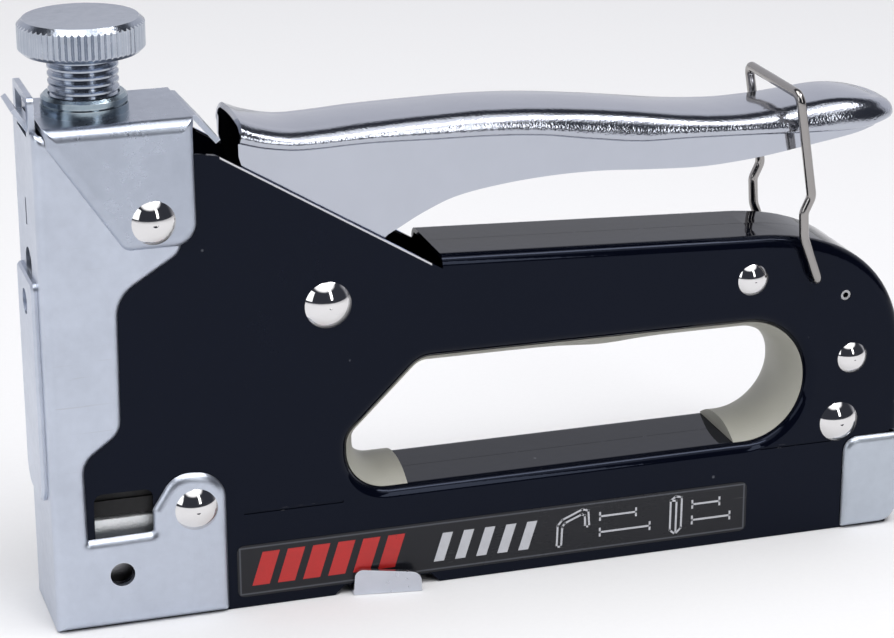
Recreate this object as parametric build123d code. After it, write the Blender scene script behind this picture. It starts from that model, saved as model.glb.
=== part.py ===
"""Hand staple gun: pressed-steel shells, chrome squeeze lever, spring adjuster knob, slide-out magazine.

Every place is given in millimetres: x runs back from the front wall of the nose, y runs across
(the label side is -y) and z runs up from the foot.  place() moves each piece to the row frame,
whose origin is the middle of the outline's bottom.
"""
from build123d import *
import math
import os

# ---------------------------------------------------------------- driving dimensions
ORIGIN_X = 90.5                 # x of the row origin, half way along the outline

SHELL_HALF = 11.0               # half the width over the two body shells
SHELL_WALL = 1.0
SHELL_BEND = 2.4                # outside radius of the turned-in rims
SEAM_GAP = 0.1                  # between the two shells' rims
SHELL_FRONT_X = 1.85
SHELL_TOP_Z = 96.2
SHELL_REAR_X = 183.7
SHELL_FOOT_REAR_X = 181.0       # below the rim the shells stop short of the end guard
RIM_END_Z = 21.4                # where the rear rim ends above the magazine
BAR_FRONT_X = 80.8
BAR_FRONT_Z = 70.75
BAR_REAR_X = 150.0
BAR_REAR_Z = 67.6

LOOP_FLOOR_Z = 22.0
LOOP_CEILING_Z = 49.0
LOOP_LEFT_X = 60.6
LOOP_RIGHT_X = 161.0
LOOP_END_RADIUS = 13.4

NOSE_HALF = 12.4
NOSE_WALL = 1.2
NOSE_BEND = 2.2
NOSE_TOP_Z = 102.7
NOSE_FOOT_X = 35.3
TAB_HALF = 8.6                  # upright tab on top of the front wall
TAB_TOP_Z = 109.3
COVER_HALF = 8.5
COVER_PROUD = 1.2
COVER_LOW_Z = 26.0
COVER_HIGH_Z = 72.5

CAP_HALF = 13.6
CAP_WALL = 1.1
CAP_TOP_Z = 104.0
CAP_FRONT_X = 1.9
CAP_REAR_X = 31.0

KNOB_X = 12.3
KNOB_RADIUS = 12.2
KNOB_LOW_Z = 115.7
KNOB_HIGH_Z = 122.3
KNURL_TEETH = 60
SHANK_RADIUS = 6.85
SHANK_LOW_Z = 98.0
THREAD_PITCH = 1.5
THREAD_DEPTH = 0.55
COLLAR_TOP_Z = 107.6

SEAT_RADIUS = 7.5
SEAT_LOW_Z = 95.4
SPRING_RADIUS = 6.1             # mean radius of the drive spring
SPRING_WIRE = 1.05
SPRING_TURNS = 7
FLANGE_TOP_Z = 65.4             # top of the plunger, where the drive spring stands
PLUNGER_LOW_Z = 40.0
PLUNGER_FRONT_X = 2.3
BLADE_FRONT_X = 1.3
BLADE_THICK = 0.8
BLADE_HALF = 5.6
BLADE_TIP_Z = 6.2

PIVOT_X = 57.0
PIVOT_Z = 63.0
BUSH_RADIUS = 5.0
LIFT_ARM = 50.0                 # pivot to the nose of the lifter arm
LIFT_ANGLE = 4.5                # the arm's rest angle below level, degrees
FINGER_RADIUS = 2.4
RUNNING_FIT = 0.05              # radial clearance of a shaft in its hole
LEVER_HALF = 10.6
WEB_HALF = 9.2
WEB_WALL = 1.2

BAIL_X = 161.8
BAIL_Z = 57.7
BAIL_WIRE = 1.0                 # wire radius
BAIL_HALF = 13.2                # centre of each leg

RAIL_HALF = 4.8
RAIL_TOP_Z = 15.0
RAIL_LOW_Z = 3.2
RAIL_WALL = 0.9
RAIL_FRONT_X = 3.2
STAPLE_HALF = 5.7
STAPLE_WIRE = 0.74
STAPLE_LEG = 10.0
STRIP_FRONT_X = 2.4
STRIP_REAR_X = 45.0
CHANNEL_HALF = 7.6
CHANNEL_LOW_Z = 1.2
CHANNEL_TOP_Z = 16.6
CHANNEL_REAR_X = 166.0
ROD_RADIUS = 1.5
ROD_Z = 9.0
PUSHER_LENGTH = 15.0
PUSHER_SPRING_TURNS = 30
GUARD_HALF = 12.3
GUARD_WALL = 1.1
GUARD_TOP_Z = 20.9
GUARD_FRONT_X = 170.2
GUARD_REAR_X = 183.3

# fasteners: spots in (x, z), large rivets with the half width they clamp
RIVETS_LARGE = ((22.2, 84.2, CAP_HALF), (28.8, 23.4, NOSE_HALF), (169.0, 24.7, SHELL_HALF))
RIVETS_SMALL = ((148.1, 58.7), (171.5, 38.9))
PIVOT_RIVET = (4.8, 3.0, 2.2)   # head radius, shank radius, rise of the dome
LARGE_RIVET = (4.35, 2.3, 1.9)
SMALL_RIVET = (3.35, 1.8, 1.5)
HOLE_PLAY = 0.02                # between a rivet and its hole or face
TUBE_WALL = 1.6
PIN_SPOT = (169.4, 53.1)
PIN_RADIUS = 1.1
PIN_BORE = 0.6
PIN_SUNK = 0.2                  # below the shell's face
LEVER_PIN_SPOT = (52.0, 75.0)
LEVER_PIN_RADIUS = 2.5
LEVER_PIN_PROUD = 0.3

# fits and tools
CLOSE_GAP = 0.05                # beside a part held between two others
TOUCH = 1e-3                    # how near counts as the same place
PIERCE = 20.0                   # half length of a tool that passes right through
BEYOND_X = (-5.0, 190.0)        # clear of the whole tool, front and back
BEYOND_Z = (-5.0, 110.0)
SHARP = 0.01                    # radius given to a corner that stays square
UPRIGHT = (Align.CENTER, Align.CENTER, Align.MIN)

# shell outline
HEEL_Z = 34.0                   # where the straight back ends
REAR_SHOULDER = (177.6, 55.9)
REAR_TANGENTS = ((0, 1), (-1, 0.045))
SHOULDER_LINE = ((BAR_FRONT_X, 68.1), (77.0, 70.4), (35.5, 95.7), (31.8, SHELL_TOP_Z))
CATCH_RELIEF = ((57.4, 0), (59.4, 2.0), (77.9, 2.0), (79.9, 0))
BAR_LIP = 0.4
LOOP_OUTLINE = ((76.3, LOOP_CEILING_Z + 0.4), (LOOP_RIGHT_X, LOOP_CEILING_Z - 0.1),
                (LOOP_RIGHT_X, LOOP_FLOOR_Z), (LOOP_LEFT_X, LOOP_FLOOR_Z), (LOOP_LEFT_X, 34.2))
LOOP_RADII = (6.0, LOOP_END_RADIUS, LOOP_END_RADIUS, 8.5, 5.0)
WINDOW = ((8.5, 14.5), (20.4, 14.5), (20.4, 28.5), (8.5, 28.5))
WINDOW_RADII = (0.5, 0.5, 1.8, 1.8)
FOOT_HOLE = (13.4, 11.4, 2.5)   # x, z and radius
CREASES = ((38.7, 59.5), (151.0, 167.5))
CREASE_LOW_Z = 20.3
CREASE_HIGH_Z = 20.9
CREASE_RADIUS = 0.28
CREASE_DEPTH = 0.25

# lining of the hand loop
LINING_INSET = 1.7              # in from the shells' faces
LINING_CROWN = 2.9              # thickness at the middle of its width
LINING_FLARE = ((0.8, 1.38), (1.6, 1.65), (2.4, 2.1))   # in from its side, thickness there
LINING_GAP_X = (73.5, 145.5)
LINING_LOW_Z = 10.0             # the gap in its floor, low and high
LINING_HIGH_Z = LOOP_FLOOR_Z + 3.4

# nose plate: side view and its corner radii
NOSE_OUTLINE = ((0, 0), (NOSE_FOOT_X, 0), (NOSE_FOOT_X, 30.4), (24.6, 31.6), (19.9, 24.2), (19.9, 19.6),
                (7.2, 19.4), (7.0, 35.6), (14.7, 41.2), (15.1, 69.0), (28.0, 77.0), (28.0, NOSE_TOP_Z),
                (0, NOSE_TOP_Z))
NOSE_RADII = (SHARP, 0.6, 6.3, 6.0, 1.2, 0.4, SHARP, 5.0, 5.0, 7.0, 3.5, 1.0, 0.6)
TAB_CORNER = 1.2
FRONT_SLOTS = ((6.0, 103.8, 107.9), (5.2, 100.9, 102.0), (0.6, 82.0, 87.5))     # half width, low, high
TONGUE = ((0, 102.0), (0, 103.8), (-1.9, 106.9), (-2.8, 106.3))
TONGUE_HALF = 6.0
NOSE_PORT = (74.0, 3.4)         # height and radius
COVER_PORT = (66.5, 2.6)
COVER_RADII = (5.0, 5.0, 1.5, 1.5)
COVER_BEVEL = 0.5

# cap and collar
FLAP_OUTLINE = ((CAP_FRONT_X, CAP_TOP_Z), (CAP_FRONT_X, 100.2), (16.4, 78.3), (31.2, 78.3),
                (CAP_REAR_X, CAP_TOP_Z))
FLAP_RADII = (SHARP, 0.8, 3.0, 5.0, SHARP)
CAP_BEND = 2.6
CAP_LIP = ((CAP_REAR_X - 1.0, CAP_TOP_Z), (CAP_REAR_X + 1.0, CAP_TOP_Z - 0.3), (36.6, 98.4), (35.7, 97.7),
           (CAP_REAR_X + 0.3, 102.9), (CAP_REAR_X - 1.0, 102.9))
CAP_LIP_HALF = 9.6
COLLAR_RADIUS = 8.5
COLLAR_UPPER_RADIUS = 8.35
COLLAR_NECK_RADIUS = 7.9
COLLAR_STEP = 1.6               # height of the lower tier
COLLAR_NECK = 0.4
COLLAR_BEVEL = 0.6

# knob and spring seat
KNOB_TOP_BEVEL = 1.1
KNOB_LOW_BEVEL = 0.9
KNURL_SIZE = 0.9
KNURL_OUT = 0.25                # centre of each groove beyond the rim
SEAT_SHANK_GAP = 0.1
SPIGOT_HEIGHT = 2.5
SPIGOT_PLAY = 0.3
SPRING_REST = 0.1               # between a spring's end and its seat

# plunger, blade and bumper
PLUNGER_HALF = 8.5
PLUNGER_REAR_X = 13.5
FLANGE_REAR_X = 20.3
FLANGE_THICK = 2.0
FINGER_GAP = 0.15
WINDOW_HALF = 4.5
BLADE_TOP_Z = 64.0
BUMPER = (3.0, -9.4, 23.1, 24.0, 9.4, 33.6)
BUMPER_RADIUS = 1.5
FLANK_SPOT = (13.5, 10.6, 28.4)
FLANK_SIZE = (14.0, 3.4, 4.0)

# lever: top line, tail, underside of the bulge, and the web below it
LEVER_TOP = ((41.0, 101.4), (51.0, 98.4), (67.0, 98.9), (92.0, 99.2), (124.0, 96.1), (146.0, 93.8),
             (167.0, 95.3), (175.0, 94.7), (181.8, 91.4))
LEVER_TAIL = (LEVER_TOP[-1], (181.2, 89.6), (177.4, 88.5))
LEVER_BULGE = (LEVER_TAIL[-1], (160.0, 88.9), (134.0, 90.0), (112.0, 91.9), (91.0, 94.2), (66.0, 94.9),
               (50.0, 94.8), (41.6, 97.2))
LEVER_EDGE_RADIUS = 3.0
TAIL_PLAN = (27.8, 8.0)         # length and corner radius of the tail seen from above
TAIL_ROUND_X = 168.0
WEB_UNDER = ((69.3, 75.3), (77.2, 79.7), (94.1, 84.1), (115.0, 84.9), (137.0, 83.8), (159.0, 86.0),
             (176.5, 88.7))
WEB_TOP = (WEB_UNDER[-1], (176.0, 91.0), (134.0, 91.5), (91.0, 96.0), (50.0, 96.5), (41.8, 97.6),
           (39.4, 94.0), (46.5, 68.0))
WEB_ROUND = (WEB_TOP[-1], (56.0, 54.2), (66.0, 67.0))
ROOF_TRIM = 0.955               # share of the top line that is hollow below

# lifter arm: side view between the two sides of its rounded nose
ARM_OUTLINE = ((16, 58.3), (20, 55.5), (48, 54.5), (60, 56.0), (64, 66.0), (57, 79.0), (48, 79.0),
               (44, 70.5), (20, 61.7), (16, 61.4))
ARM_NECK = 1.7
ARM_HALF = 3.9
ARM_BOSS_RADIUS = 9.0

# bail: bends in (x, z) up from the hole, and the radii of one leg's bends
BAIL_ROOT_HALF = 9.1
BAIL_BENDS = ((BAIL_X, BAIL_Z), (158.2, 67.5), (157.9, 73.0), (159.5, 76.4), (156.1, 98.1))
BAIL_RADII = (1.6, 6.0, 3.0, 3.0, 2.0)

# magazine
CHANNEL_FRONT_X = 3.2
CHANNEL_SIDE = 1.0
CHANNEL_FLOOR = 0.8
LIP_FRONT_X = 26.0
LIP_HALF = 10.0
BLOCK_FRONT_X = 2.6
BLOCK_REAR_X = 25.9
BLOCK_HALF = 8.8
BLOCK_TOP_Z = 23.0
BLOCK_BEVEL = 1.0
RAIL_END_WALL = 1.0
GUARD_LOW_Z = 0.25
GUARD_RADII = (0.5, 4.0, 0.5, 3.2)
GUARD_BEND = 1.5
BRIDGE = (0.3, 6.0, 2.0, 18.0)  # thickness, half width, low and high
ROD_FRONT_X = 46.0
ROD_END_GAP = 0.35
PUSHER_HALF = 6.2
PUSHER_LOW_Z = 2.2
PUSHER_PLAY = 0.3               # round the rail
PUSHER_TUNNEL_RADIUS = 3.3
PUSHER_SPRING_RADIUS = 2.5
PUSHER_SPRING_WIRE = 0.35
PUSHER_SPRING_REAR_X = 178.0

# catch and label
CATCH_FRONT_X = 61.0
CATCH_REAR_X = 74.6
CATCH_STRAP = 0.8
CATCH_HALF = 11.3
TAB_SIDE = ((61.0, 0), (75.0, 0), (74.8, 4.2), (61.4, 5.6))
TAB_RADII = (SHARP, SHARP, 2.2, 1.6)
TAB_PLAN = ((61.0, -11.3), (75.0, -13.5), (75.0, -14.4), (61.0, -12.2))
TAB_ROOT = ((61.0, -11.0), (74.6, -11.0), (74.6, -13.7), (61.0, -11.6))
TAB_REACH = (-16.0, -11.0)
TAB_HEIGHT = 8.0
LABEL = ((37.0, 2.3), (148.2, 2.3), (148.2, 13.6), (37.0, 13.6))
LABEL_RADIUS = 1.5
LABEL_FACE = 0.12               # outer and inner faces, proud of the shell
LABEL_BACK = 0.01


# ---------------------------------------------------------------- helpers
def place(shape):
    """Move a finished piece from the nose's coordinates to the row frame."""
    return Pos(-ORIGIN_X, 0, 0) * shape


def slab(face, y_low, y_high):
    """Extrude a face drawn in (x, z) so that it fills y_low to y_high."""
    return extrude(Plane.XZ.offset(-y_high) * face, amount=y_high - y_low)


def polygon(*points):
    """Closed straight-sided face."""
    return make_face(Polyline(*points, close=True))


def rounded(points, radii):
    """Closed face whose corners are rounded, one radius for each corner."""
    return make_face(FilletPolyline(*points, radius=radii, close=True))


def rect(x_low, z_low, x_high, z_high):
    """Plain rectangle in (x, z)."""
    return polygon((x_low, z_low), (x_high, z_low), (x_high, z_high), (x_low, z_high))


def disc(x, z, radius):
    """Round face in (x, z)."""
    return Pos(x, z) * Circle(radius)


def box(x_low, y_low, z_low, x_high, y_high, z_high):
    """Block between two corners."""
    block = Box(x_high - x_low, y_high - y_low, z_high - z_low, align=(Align.MIN,) * 3)
    return Pos(x_low, y_low, z_low) * block


def cross_pin(x, z, radius, half):
    """Round bar lying across the tool."""
    return slab(disc(x, z, radius), -half, half)


def post(radius, low, high):
    """Upright round bar on the knob's axis."""
    return Pos(KNOB_X, 0, low) * Cylinder(radius, high - low, align=UPRIGHT)


def bore_rivets(solid, spots, rivet):
    """Drill a rivet's holes through a solid at the given spots."""
    for spot in spots:
        solid -= cross_pin(spot[0], spot[1], rivet[1] + HOLE_PLAY, PIERCE)
    return solid


def dome_rivet(x, z, rivet, clamped_half):
    """Rivet across the tool with a domed head on each side."""
    head_radius, shank_radius, rise = rivet
    half = clamped_half + HOLE_PLAY
    shank = cross_pin(x, z, shank_radius, half)
    ball = (head_radius ** 2 + rise ** 2) / (2 * rise)
    width = 4 * ball
    cap = Sphere(ball) & Pos(0, 0, ball) * Box(width, width, 2 * rise)
    head = Pos(0, 0, rise - ball) * cap
    near = Pos(x, -half, z) * Rot(90, 0, 0) * head
    far = Pos(x, half, z) * Rot(-90, 0, 0) * head
    return shank + near + far


def mirrored(shape):
    """Mirror image across the tool's middle plane."""
    return mirror(shape, about=Plane.XZ)


# ---------------------------------------------------------------- body shells
def back_curve(wall):
    """Line up the heel and over the rear shoulder to the bar, a wall's thickness inside the outline."""
    return Spline(
        (SHELL_REAR_X - wall, HEEL_Z), (REAR_SHOULDER[0] - 0.7 * wall, REAR_SHOULDER[1] - 0.7 * wall),
        (BAR_REAR_X, BAR_REAR_Z - wall), tangents=REAR_TANGENTS)


def shell_outline():
    """Outside edge of a body shell, from the foot of the nose round to the front."""
    rest = Polyline(
        (BAR_REAR_X, BAR_REAR_Z), (BAR_FRONT_X, BAR_FRONT_Z), *SHOULDER_LINE, (SHELL_FRONT_X, SHELL_TOP_Z),
        (SHELL_FRONT_X, 0), *CATCH_RELIEF, (SHELL_FOOT_REAR_X, 0), (SHELL_FOOT_REAR_X, RIM_END_Z),
        (SHELL_REAR_X, RIM_END_Z), (SHELL_REAR_X, HEEL_Z))
    return make_face(back_curve(0) + rest)


def loop_outline():
    """The hand opening."""
    return rounded(LOOP_OUTLINE, LOOP_RADII)


def shell_cavity():
    """Inside of the shell: it follows the rims and runs out through every edge that has none."""
    lip_x = BAR_FRONT_X - BAR_LIP
    inner_x = SHELL_REAR_X - SHELL_WALL
    rest = Polyline(
        (BAR_REAR_X, BAR_REAR_Z - SHELL_WALL), (lip_x, BAR_FRONT_Z - SHELL_WALL), (lip_x, BEYOND_Z[1]),
        (BEYOND_X[0], BEYOND_Z[1]), (BEYOND_X[0], BEYOND_Z[0]), (BEYOND_X[1], BEYOND_Z[0]),
        (BEYOND_X[1], RIM_END_Z), (inner_x, RIM_END_Z), (inner_x, HEEL_Z))
    return make_face(back_curve(SHELL_WALL) + rest)


def rim_edges(solid, face_y):
    """Edges of the turned-in rims: those lying in one outer face along the bar, back and loop."""
    loop_low = LOOP_FLOOR_Z - 2
    loop_high = LOOP_CEILING_Z + 3
    found = []
    for edge in solid.edges():
        limits = edge.bounding_box()
        on_face = abs(limits.min.Y - face_y) < TOUCH and abs(limits.max.Y - face_y) < TOUCH
        middle = edge @ 0.5
        in_loop = LOOP_LEFT_X - 1 < middle.X < LOOP_RIGHT_X + 1 and loop_low < middle.Z < loop_high
        on_bar = middle.X > BAR_FRONT_X and middle.Z > loop_high
        on_back = middle.X > SHELL_FOOT_REAR_X + 1 and middle.Z > RIM_END_Z + BAR_LIP
        if on_face and (in_loop or on_bar or on_back):
            found.append(edge)
    return found


def body_shell():
    """Near shell (-y side)."""
    inner_y = SHELL_WALL - SHELL_HALF
    outer = slab(shell_outline() - loop_outline(), -SHELL_HALF, -SEAM_GAP / 2)
    outer = fillet(rim_edges(outer, -SHELL_HALF), SHELL_BEND)
    inside = slab(shell_cavity() - offset(loop_outline(), SHELL_WALL), inner_y, 1)
    inside = fillet(rim_edges(inside, inner_y), SHELL_BEND - SHELL_WALL)
    shell = outer - inside
    shell -= slab(rounded(WINDOW, WINDOW_RADII), -PIERCE, 0)
    shell -= cross_pin(*FOOT_HOLE, PIERCE)
    shell = bore_rivets(shell, RIVETS_LARGE, LARGE_RIVET)
    shell = bore_rivets(shell, RIVETS_SMALL, SMALL_RIVET)
    shell = bore_rivets(shell, ((PIVOT_X, PIVOT_Z),), PIVOT_RIVET)
    shell -= cross_pin(*PIN_SPOT, PIN_RADIUS + RUNNING_FIT, PIERCE)
    shell -= cross_pin(BAIL_X, BAIL_Z, BAIL_WIRE + RUNNING_FIT, PIERCE)
    low, high = CREASE_LOW_Z, CREASE_HIGH_Z
    for front, rear in CREASES:
        crease = rounded(((front, low), (rear, low), (rear, high), (front, high)), (CREASE_RADIUS,) * 4)
        shell -= slab(crease, -SHELL_HALF - 1, -SHELL_HALF + CREASE_DEPTH)
    return shell


def grip_insert():
    """Plastic lining of the hand loop: the two ends and the ceiling, crowned across."""
    half = SHELL_HALF - LINING_INSET
    outside = slab(offset(loop_outline(), -CLOSE_GAP), -half, half)
    inner = slab(offset(loop_outline(), -LINING_CROWN), -half - 1, half + 1)
    for inset, thickness in LINING_FLARE:
        opened = offset(loop_outline(), -thickness)
        inner += slab(opened, -half - 1, inset - half) + slab(opened, half - inset, half + 1)
    gap = rect(LINING_GAP_X[0], LINING_LOW_Z, LINING_GAP_X[1], LINING_HIGH_Z)
    return outside - inner - slab(gap, -half - 1, half + 1)


# ---------------------------------------------------------------- nose and cap
def front_port(port):
    """Tool that pierces the front wall at a height and radius."""
    height, radius = port
    return Pos(0, 0, height) * Rot(0, 90, 0) * Cylinder(radius, 6)


def nose_plate():
    """U-shaped zinc plate round the front, open at the back."""
    outer = slab(rounded(NOSE_OUTLINE, NOSE_RADII), -NOSE_HALF, NOSE_HALF)
    upright = outer.edges().filter_by(Axis.Z)
    corners = [e for e in upright if abs((e @ 0.5).X) < TOUCH and e.length > NOSE_TOP_Z / 2]
    outer = fillet(corners, NOSE_BEND)
    inner_half = NOSE_HALF - NOSE_WALL
    inner = box(NOSE_WALL, -inner_half, BEYOND_Z[0], BEYOND_X[1], inner_half, BEYOND_Z[1])
    inner = fillet(inner.edges().filter_by(Axis.Z).sort_by(Axis.X)[:2], NOSE_BEND - NOSE_WALL)
    plate = outer - inner
    tab = box(0, -TAB_HALF, NOSE_TOP_Z - 1, NOSE_WALL, TAB_HALF, TAB_TOP_Z)
    plate += fillet(tab.edges().filter_by(Axis.X).group_by(Axis.Z)[-1], TAB_CORNER)
    for half, low, high in FRONT_SLOTS:
        plate -= box(-1, -half, low, 2, half, high)
    plate += slab(polygon(*TONGUE), -TONGUE_HALF, TONGUE_HALF)
    plate -= front_port(NOSE_PORT)
    plate -= cross_pin(*FOOT_HOLE, PIERCE)
    return bore_rivets(plate, RIVETS_LARGE[:2], LARGE_RIVET)


def front_cover():
    """Raised strip on the front wall that closes the driver's guide."""
    low, high = COVER_LOW_Z, COVER_HIGH_Z
    points = ((-COVER_HALF, low), (COVER_HALF, low), (COVER_HALF, high), (-COVER_HALF, high))
    face = Plane.YZ.offset(-COVER_PROUD) * rounded(points, COVER_RADII)
    strip = extrude(face, amount=COVER_PROUD - HOLE_PLAY)
    rim = [e for e in strip.edges() if (e @ 0.5).X < TOUCH - COVER_PROUD]
    return chamfer(rim, COVER_BEVEL) - front_port(COVER_PORT)


def top_cap():
    """Folded cap over the nose: top plate, two side flaps and a sloping rear lip."""
    outer = slab(rounded(FLAP_OUTLINE, FLAP_RADII), -CAP_HALF, CAP_HALF)
    outer = fillet(outer.edges().filter_by(Axis.X).group_by(Axis.Z)[-1], CAP_BEND)
    half = CAP_HALF - CAP_WALL
    inner = box(BEYOND_X[0], -half, 0, BEYOND_X[1], half, CAP_TOP_Z - CAP_WALL)
    inner = fillet(inner.edges().filter_by(Axis.X).group_by(Axis.Z)[-1], CAP_BEND - CAP_WALL)
    cap = outer - inner
    cap += slab(polygon(*CAP_LIP), -CAP_LIP_HALF, CAP_LIP_HALF)
    cap -= post(COLLAR_NECK_RADIUS, CAP_TOP_Z - 5, CAP_TOP_Z + 5)
    return bore_rivets(cap, RIVETS_LARGE[:1], LARGE_RIVET)


def adjuster_collar():
    """Threaded bush held in the cap, in two tiers."""
    neck_z = CAP_TOP_Z + COLLAR_STEP
    upper_z = neck_z + COLLAR_NECK
    upper = post(COLLAR_UPPER_RADIUS, upper_z, COLLAR_TOP_Z)
    upper = chamfer(upper.edges().group_by(Axis.Z)[-1], COLLAR_BEVEL)
    tiers = post(COLLAR_RADIUS, CAP_TOP_Z, neck_z) + post(COLLAR_NECK_RADIUS, neck_z, upper_z) + upper
    foot = post(COLLAR_NECK_RADIUS - CLOSE_GAP, CAP_TOP_Z - CAP_WALL, CAP_TOP_Z)
    bore = post(SHANK_RADIUS + RUNNING_FIT, CAP_TOP_Z - PIERCE, CAP_TOP_Z + PIERCE)
    return tiers + foot - bore


# ---------------------------------------------------------------- adjuster, spring and driver
def tension_knob():
    """Knurled head on a threaded shank."""
    height = KNOB_HIGH_Z - KNOB_LOW_Z
    head = Cylinder(KNOB_RADIUS, height, align=UPRIGHT)
    head = chamfer(head.edges().group_by(Axis.Z)[-1], KNOB_TOP_BEVEL)
    head = chamfer(head.edges().group_by(Axis.Z)[0], KNOB_LOW_BEVEL)
    step = 360 / KNURL_TEETH
    groove = Rot(0, 0, 45) * Box(KNURL_SIZE, KNURL_SIZE, height + 2)
    groove = Pos(KNOB_RADIUS + KNURL_OUT, 0, height / 2) * groove
    head -= Compound([Rot(0, 0, index * step) * groove for index in range(KNURL_TEETH)])
    shank_low = SHANK_LOW_Z - KNOB_LOW_Z
    shank = Pos(0, 0, shank_low) * Cylinder(SHANK_RADIUS, -shank_low, align=UPRIGHT)
    side = THREAD_DEPTH * 1.5
    crest = shank_low + THREAD_PITCH / 2
    rings = []
    while crest < -THREAD_PITCH / 2:
        profile = Pos(SHANK_RADIUS, crest) * Rot(0, 0, 45) * Rectangle(side, side)
        rings.append(revolve(Plane.XZ * profile, axis=Axis.Z))
        crest += THREAD_PITCH
    shank -= Compound(rings)
    return Pos(KNOB_X, 0, KNOB_LOW_Z) * (head + shank)


def spring_seat():
    """Cup between the shank and the drive spring."""
    plate = post(SEAT_RADIUS, SEAT_LOW_Z, SHANK_LOW_Z - SEAT_SHANK_GAP)
    spigot = post(SPRING_RADIUS - SPRING_WIRE - SPIGOT_PLAY, SEAT_LOW_Z - SPIGOT_HEIGHT, SEAT_LOW_Z)
    return plate + spigot


def coil(radius, wire, turns, length):
    """Helical spring along +z from the origin, wire centre to wire centre."""
    helix = Helix(pitch=length / turns, height=length, radius=radius)
    section = Plane(origin=helix @ 0, z_dir=helix % 0) * Circle(wire)
    return sweep(section, path=helix)


def drive_spring():
    """Compression spring that fires the plunger."""
    end_gap = SPRING_WIRE + SPRING_REST
    length = SEAT_LOW_Z - FLANGE_TOP_Z - 2 * end_gap
    return Pos(KNOB_X, 0, FLANGE_TOP_Z + end_gap) * coil(SPRING_RADIUS, SPRING_WIRE, SPRING_TURNS, length)


def finger_centre():
    """Centre of the lifter arm's rounded nose."""
    angle = math.radians(LIFT_ANGLE)
    return PIVOT_X - LIFT_ARM * math.cos(angle), PIVOT_Z - LIFT_ARM * math.sin(angle)


def plunger():
    """Striker block with a window for the lifter arm and a flange for the spring."""
    finger_x, finger_z = finger_centre()
    half = PLUNGER_HALF
    block = box(PLUNGER_FRONT_X, -half, PLUNGER_LOW_Z, PLUNGER_REAR_X, half, FLANGE_TOP_Z)
    flange = box(PLUNGER_FRONT_X, -half, FLANGE_TOP_Z - FLANGE_THICK, FLANGE_REAR_X, half, FLANGE_TOP_Z)
    clear = FINGER_RADIUS + FINGER_GAP
    front_x = finger_x - clear - 0.2
    window = box(front_x, -WINDOW_HALF, finger_z - clear, 30, WINDOW_HALF, finger_z + clear)
    return block + flange - window


def driver_blade():
    """Flat steel blade on the front of the plunger."""
    return box(BLADE_FRONT_X, -BLADE_HALF, BLADE_TIP_Z, BLADE_FRONT_X + BLADE_THICK, BLADE_HALF, BLADE_TOP_Z)


def rubber_bumper():
    """Rubber block that stops the plunger, with hollowed flanks."""
    block = box(*BUMPER)
    block = fillet(block.edges().filter_by(Axis.Y), BUMPER_RADIUS)
    x, y, z = FLANK_SPOT
    hollow = Pos(x, y, z) * Box(*FLANK_SIZE)
    return block - hollow - mirrored(hollow)


# ---------------------------------------------------------------- lever group
def lever_bores(solid):
    """Cut the bush's and the pin's holes through a lever piece."""
    solid -= cross_pin(PIVOT_X, PIVOT_Z, BUSH_RADIUS + RUNNING_FIT, PIERCE)
    return solid - cross_pin(*LEVER_PIN_SPOT, LEVER_PIN_RADIUS + HOLE_PLAY, PIERCE)


def tail_trim():
    """Tool that rounds the tail seen from above."""
    length, radius = TAIL_PLAN
    around = box(TAIL_ROUND_X, -PIERCE, 0, BEYOND_X[1], PIERCE, BEYOND_Z[1])
    plan = RectangleRounded(length, 2 * LEVER_HALF, radius)
    return around - Pos(TAIL_ROUND_X, 0, 0) * extrude(plan, amount=BEYOND_Z[1])


def lever():
    """Chrome pressed channel: wide rounded top, narrower web, open underneath and in front."""
    mouth = Line(LEVER_BULGE[-1], LEVER_TOP[0])
    side = Spline(*LEVER_TOP) + Polyline(*LEVER_TAIL) + Spline(*LEVER_BULGE) + mouth
    bulge = slab(make_face(side), -LEVER_HALF, LEVER_HALF) - tail_trim()
    ridge = [e for e in bulge.edges() if abs(abs((e @ 0.5).Y) - LEVER_HALF) < TOUCH and e.length > 60
             and (e @ 0.5).Z > LEVER_BULGE[-3][1] + 0.6]
    bulge = fillet(ridge, LEVER_EDGE_RADIUS)
    neck = Line(WEB_ROUND[-1], WEB_UNDER[0])
    side = Spline(*WEB_UNDER) + Polyline(*WEB_TOP) + ThreePointArc(*WEB_ROUND) + neck
    web = slab(make_face(side), -WEB_HALF, WEB_HALF)
    roof = Pos(0, -WEB_WALL) * Spline(*LEVER_TOP).trim(0.0, ROOF_TRIM)
    start, end = roof @ 0, roof @ 1
    below = Polyline((end.X, end.Y), (end.X, 40), (20, 40), (20, start.Y + 3), (start.X, start.Y))
    half = WEB_HALF - WEB_WALL
    return lever_bores(bulge + web - slab(make_face(roof + below), -half, half))


def lifter_arm():
    """Hardened arm pinned inside the lever; its rounded nose lifts the plunger."""
    finger_x, finger_z = finger_centre()
    nose = disc(finger_x, finger_z, FINGER_RADIUS)
    neck = polygon((finger_x, finger_z - ARM_NECK), *ARM_OUTLINE, (finger_x, finger_z + ARM_NECK))
    boss = disc(PIVOT_X, PIVOT_Z, ARM_BOSS_RADIUS)
    return lever_bores(slab(nose + neck + boss, -ARM_HALF, ARM_HALF))


def lever_pin():
    """Pin that ties the lifter arm to the lever."""
    return cross_pin(*LEVER_PIN_SPOT, LEVER_PIN_RADIUS, WEB_HALF + LEVER_PIN_PROUD)


def lever_bush():
    """Steel bush between the shells that the lever turns on."""
    bush = cross_pin(PIVOT_X, PIVOT_Z, BUSH_RADIUS, SHELL_HALF - SHELL_WALL - CLOSE_GAP)
    return bore_rivets(bush, ((PIVOT_X, PIVOT_Z),), PIVOT_RIVET)


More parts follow.
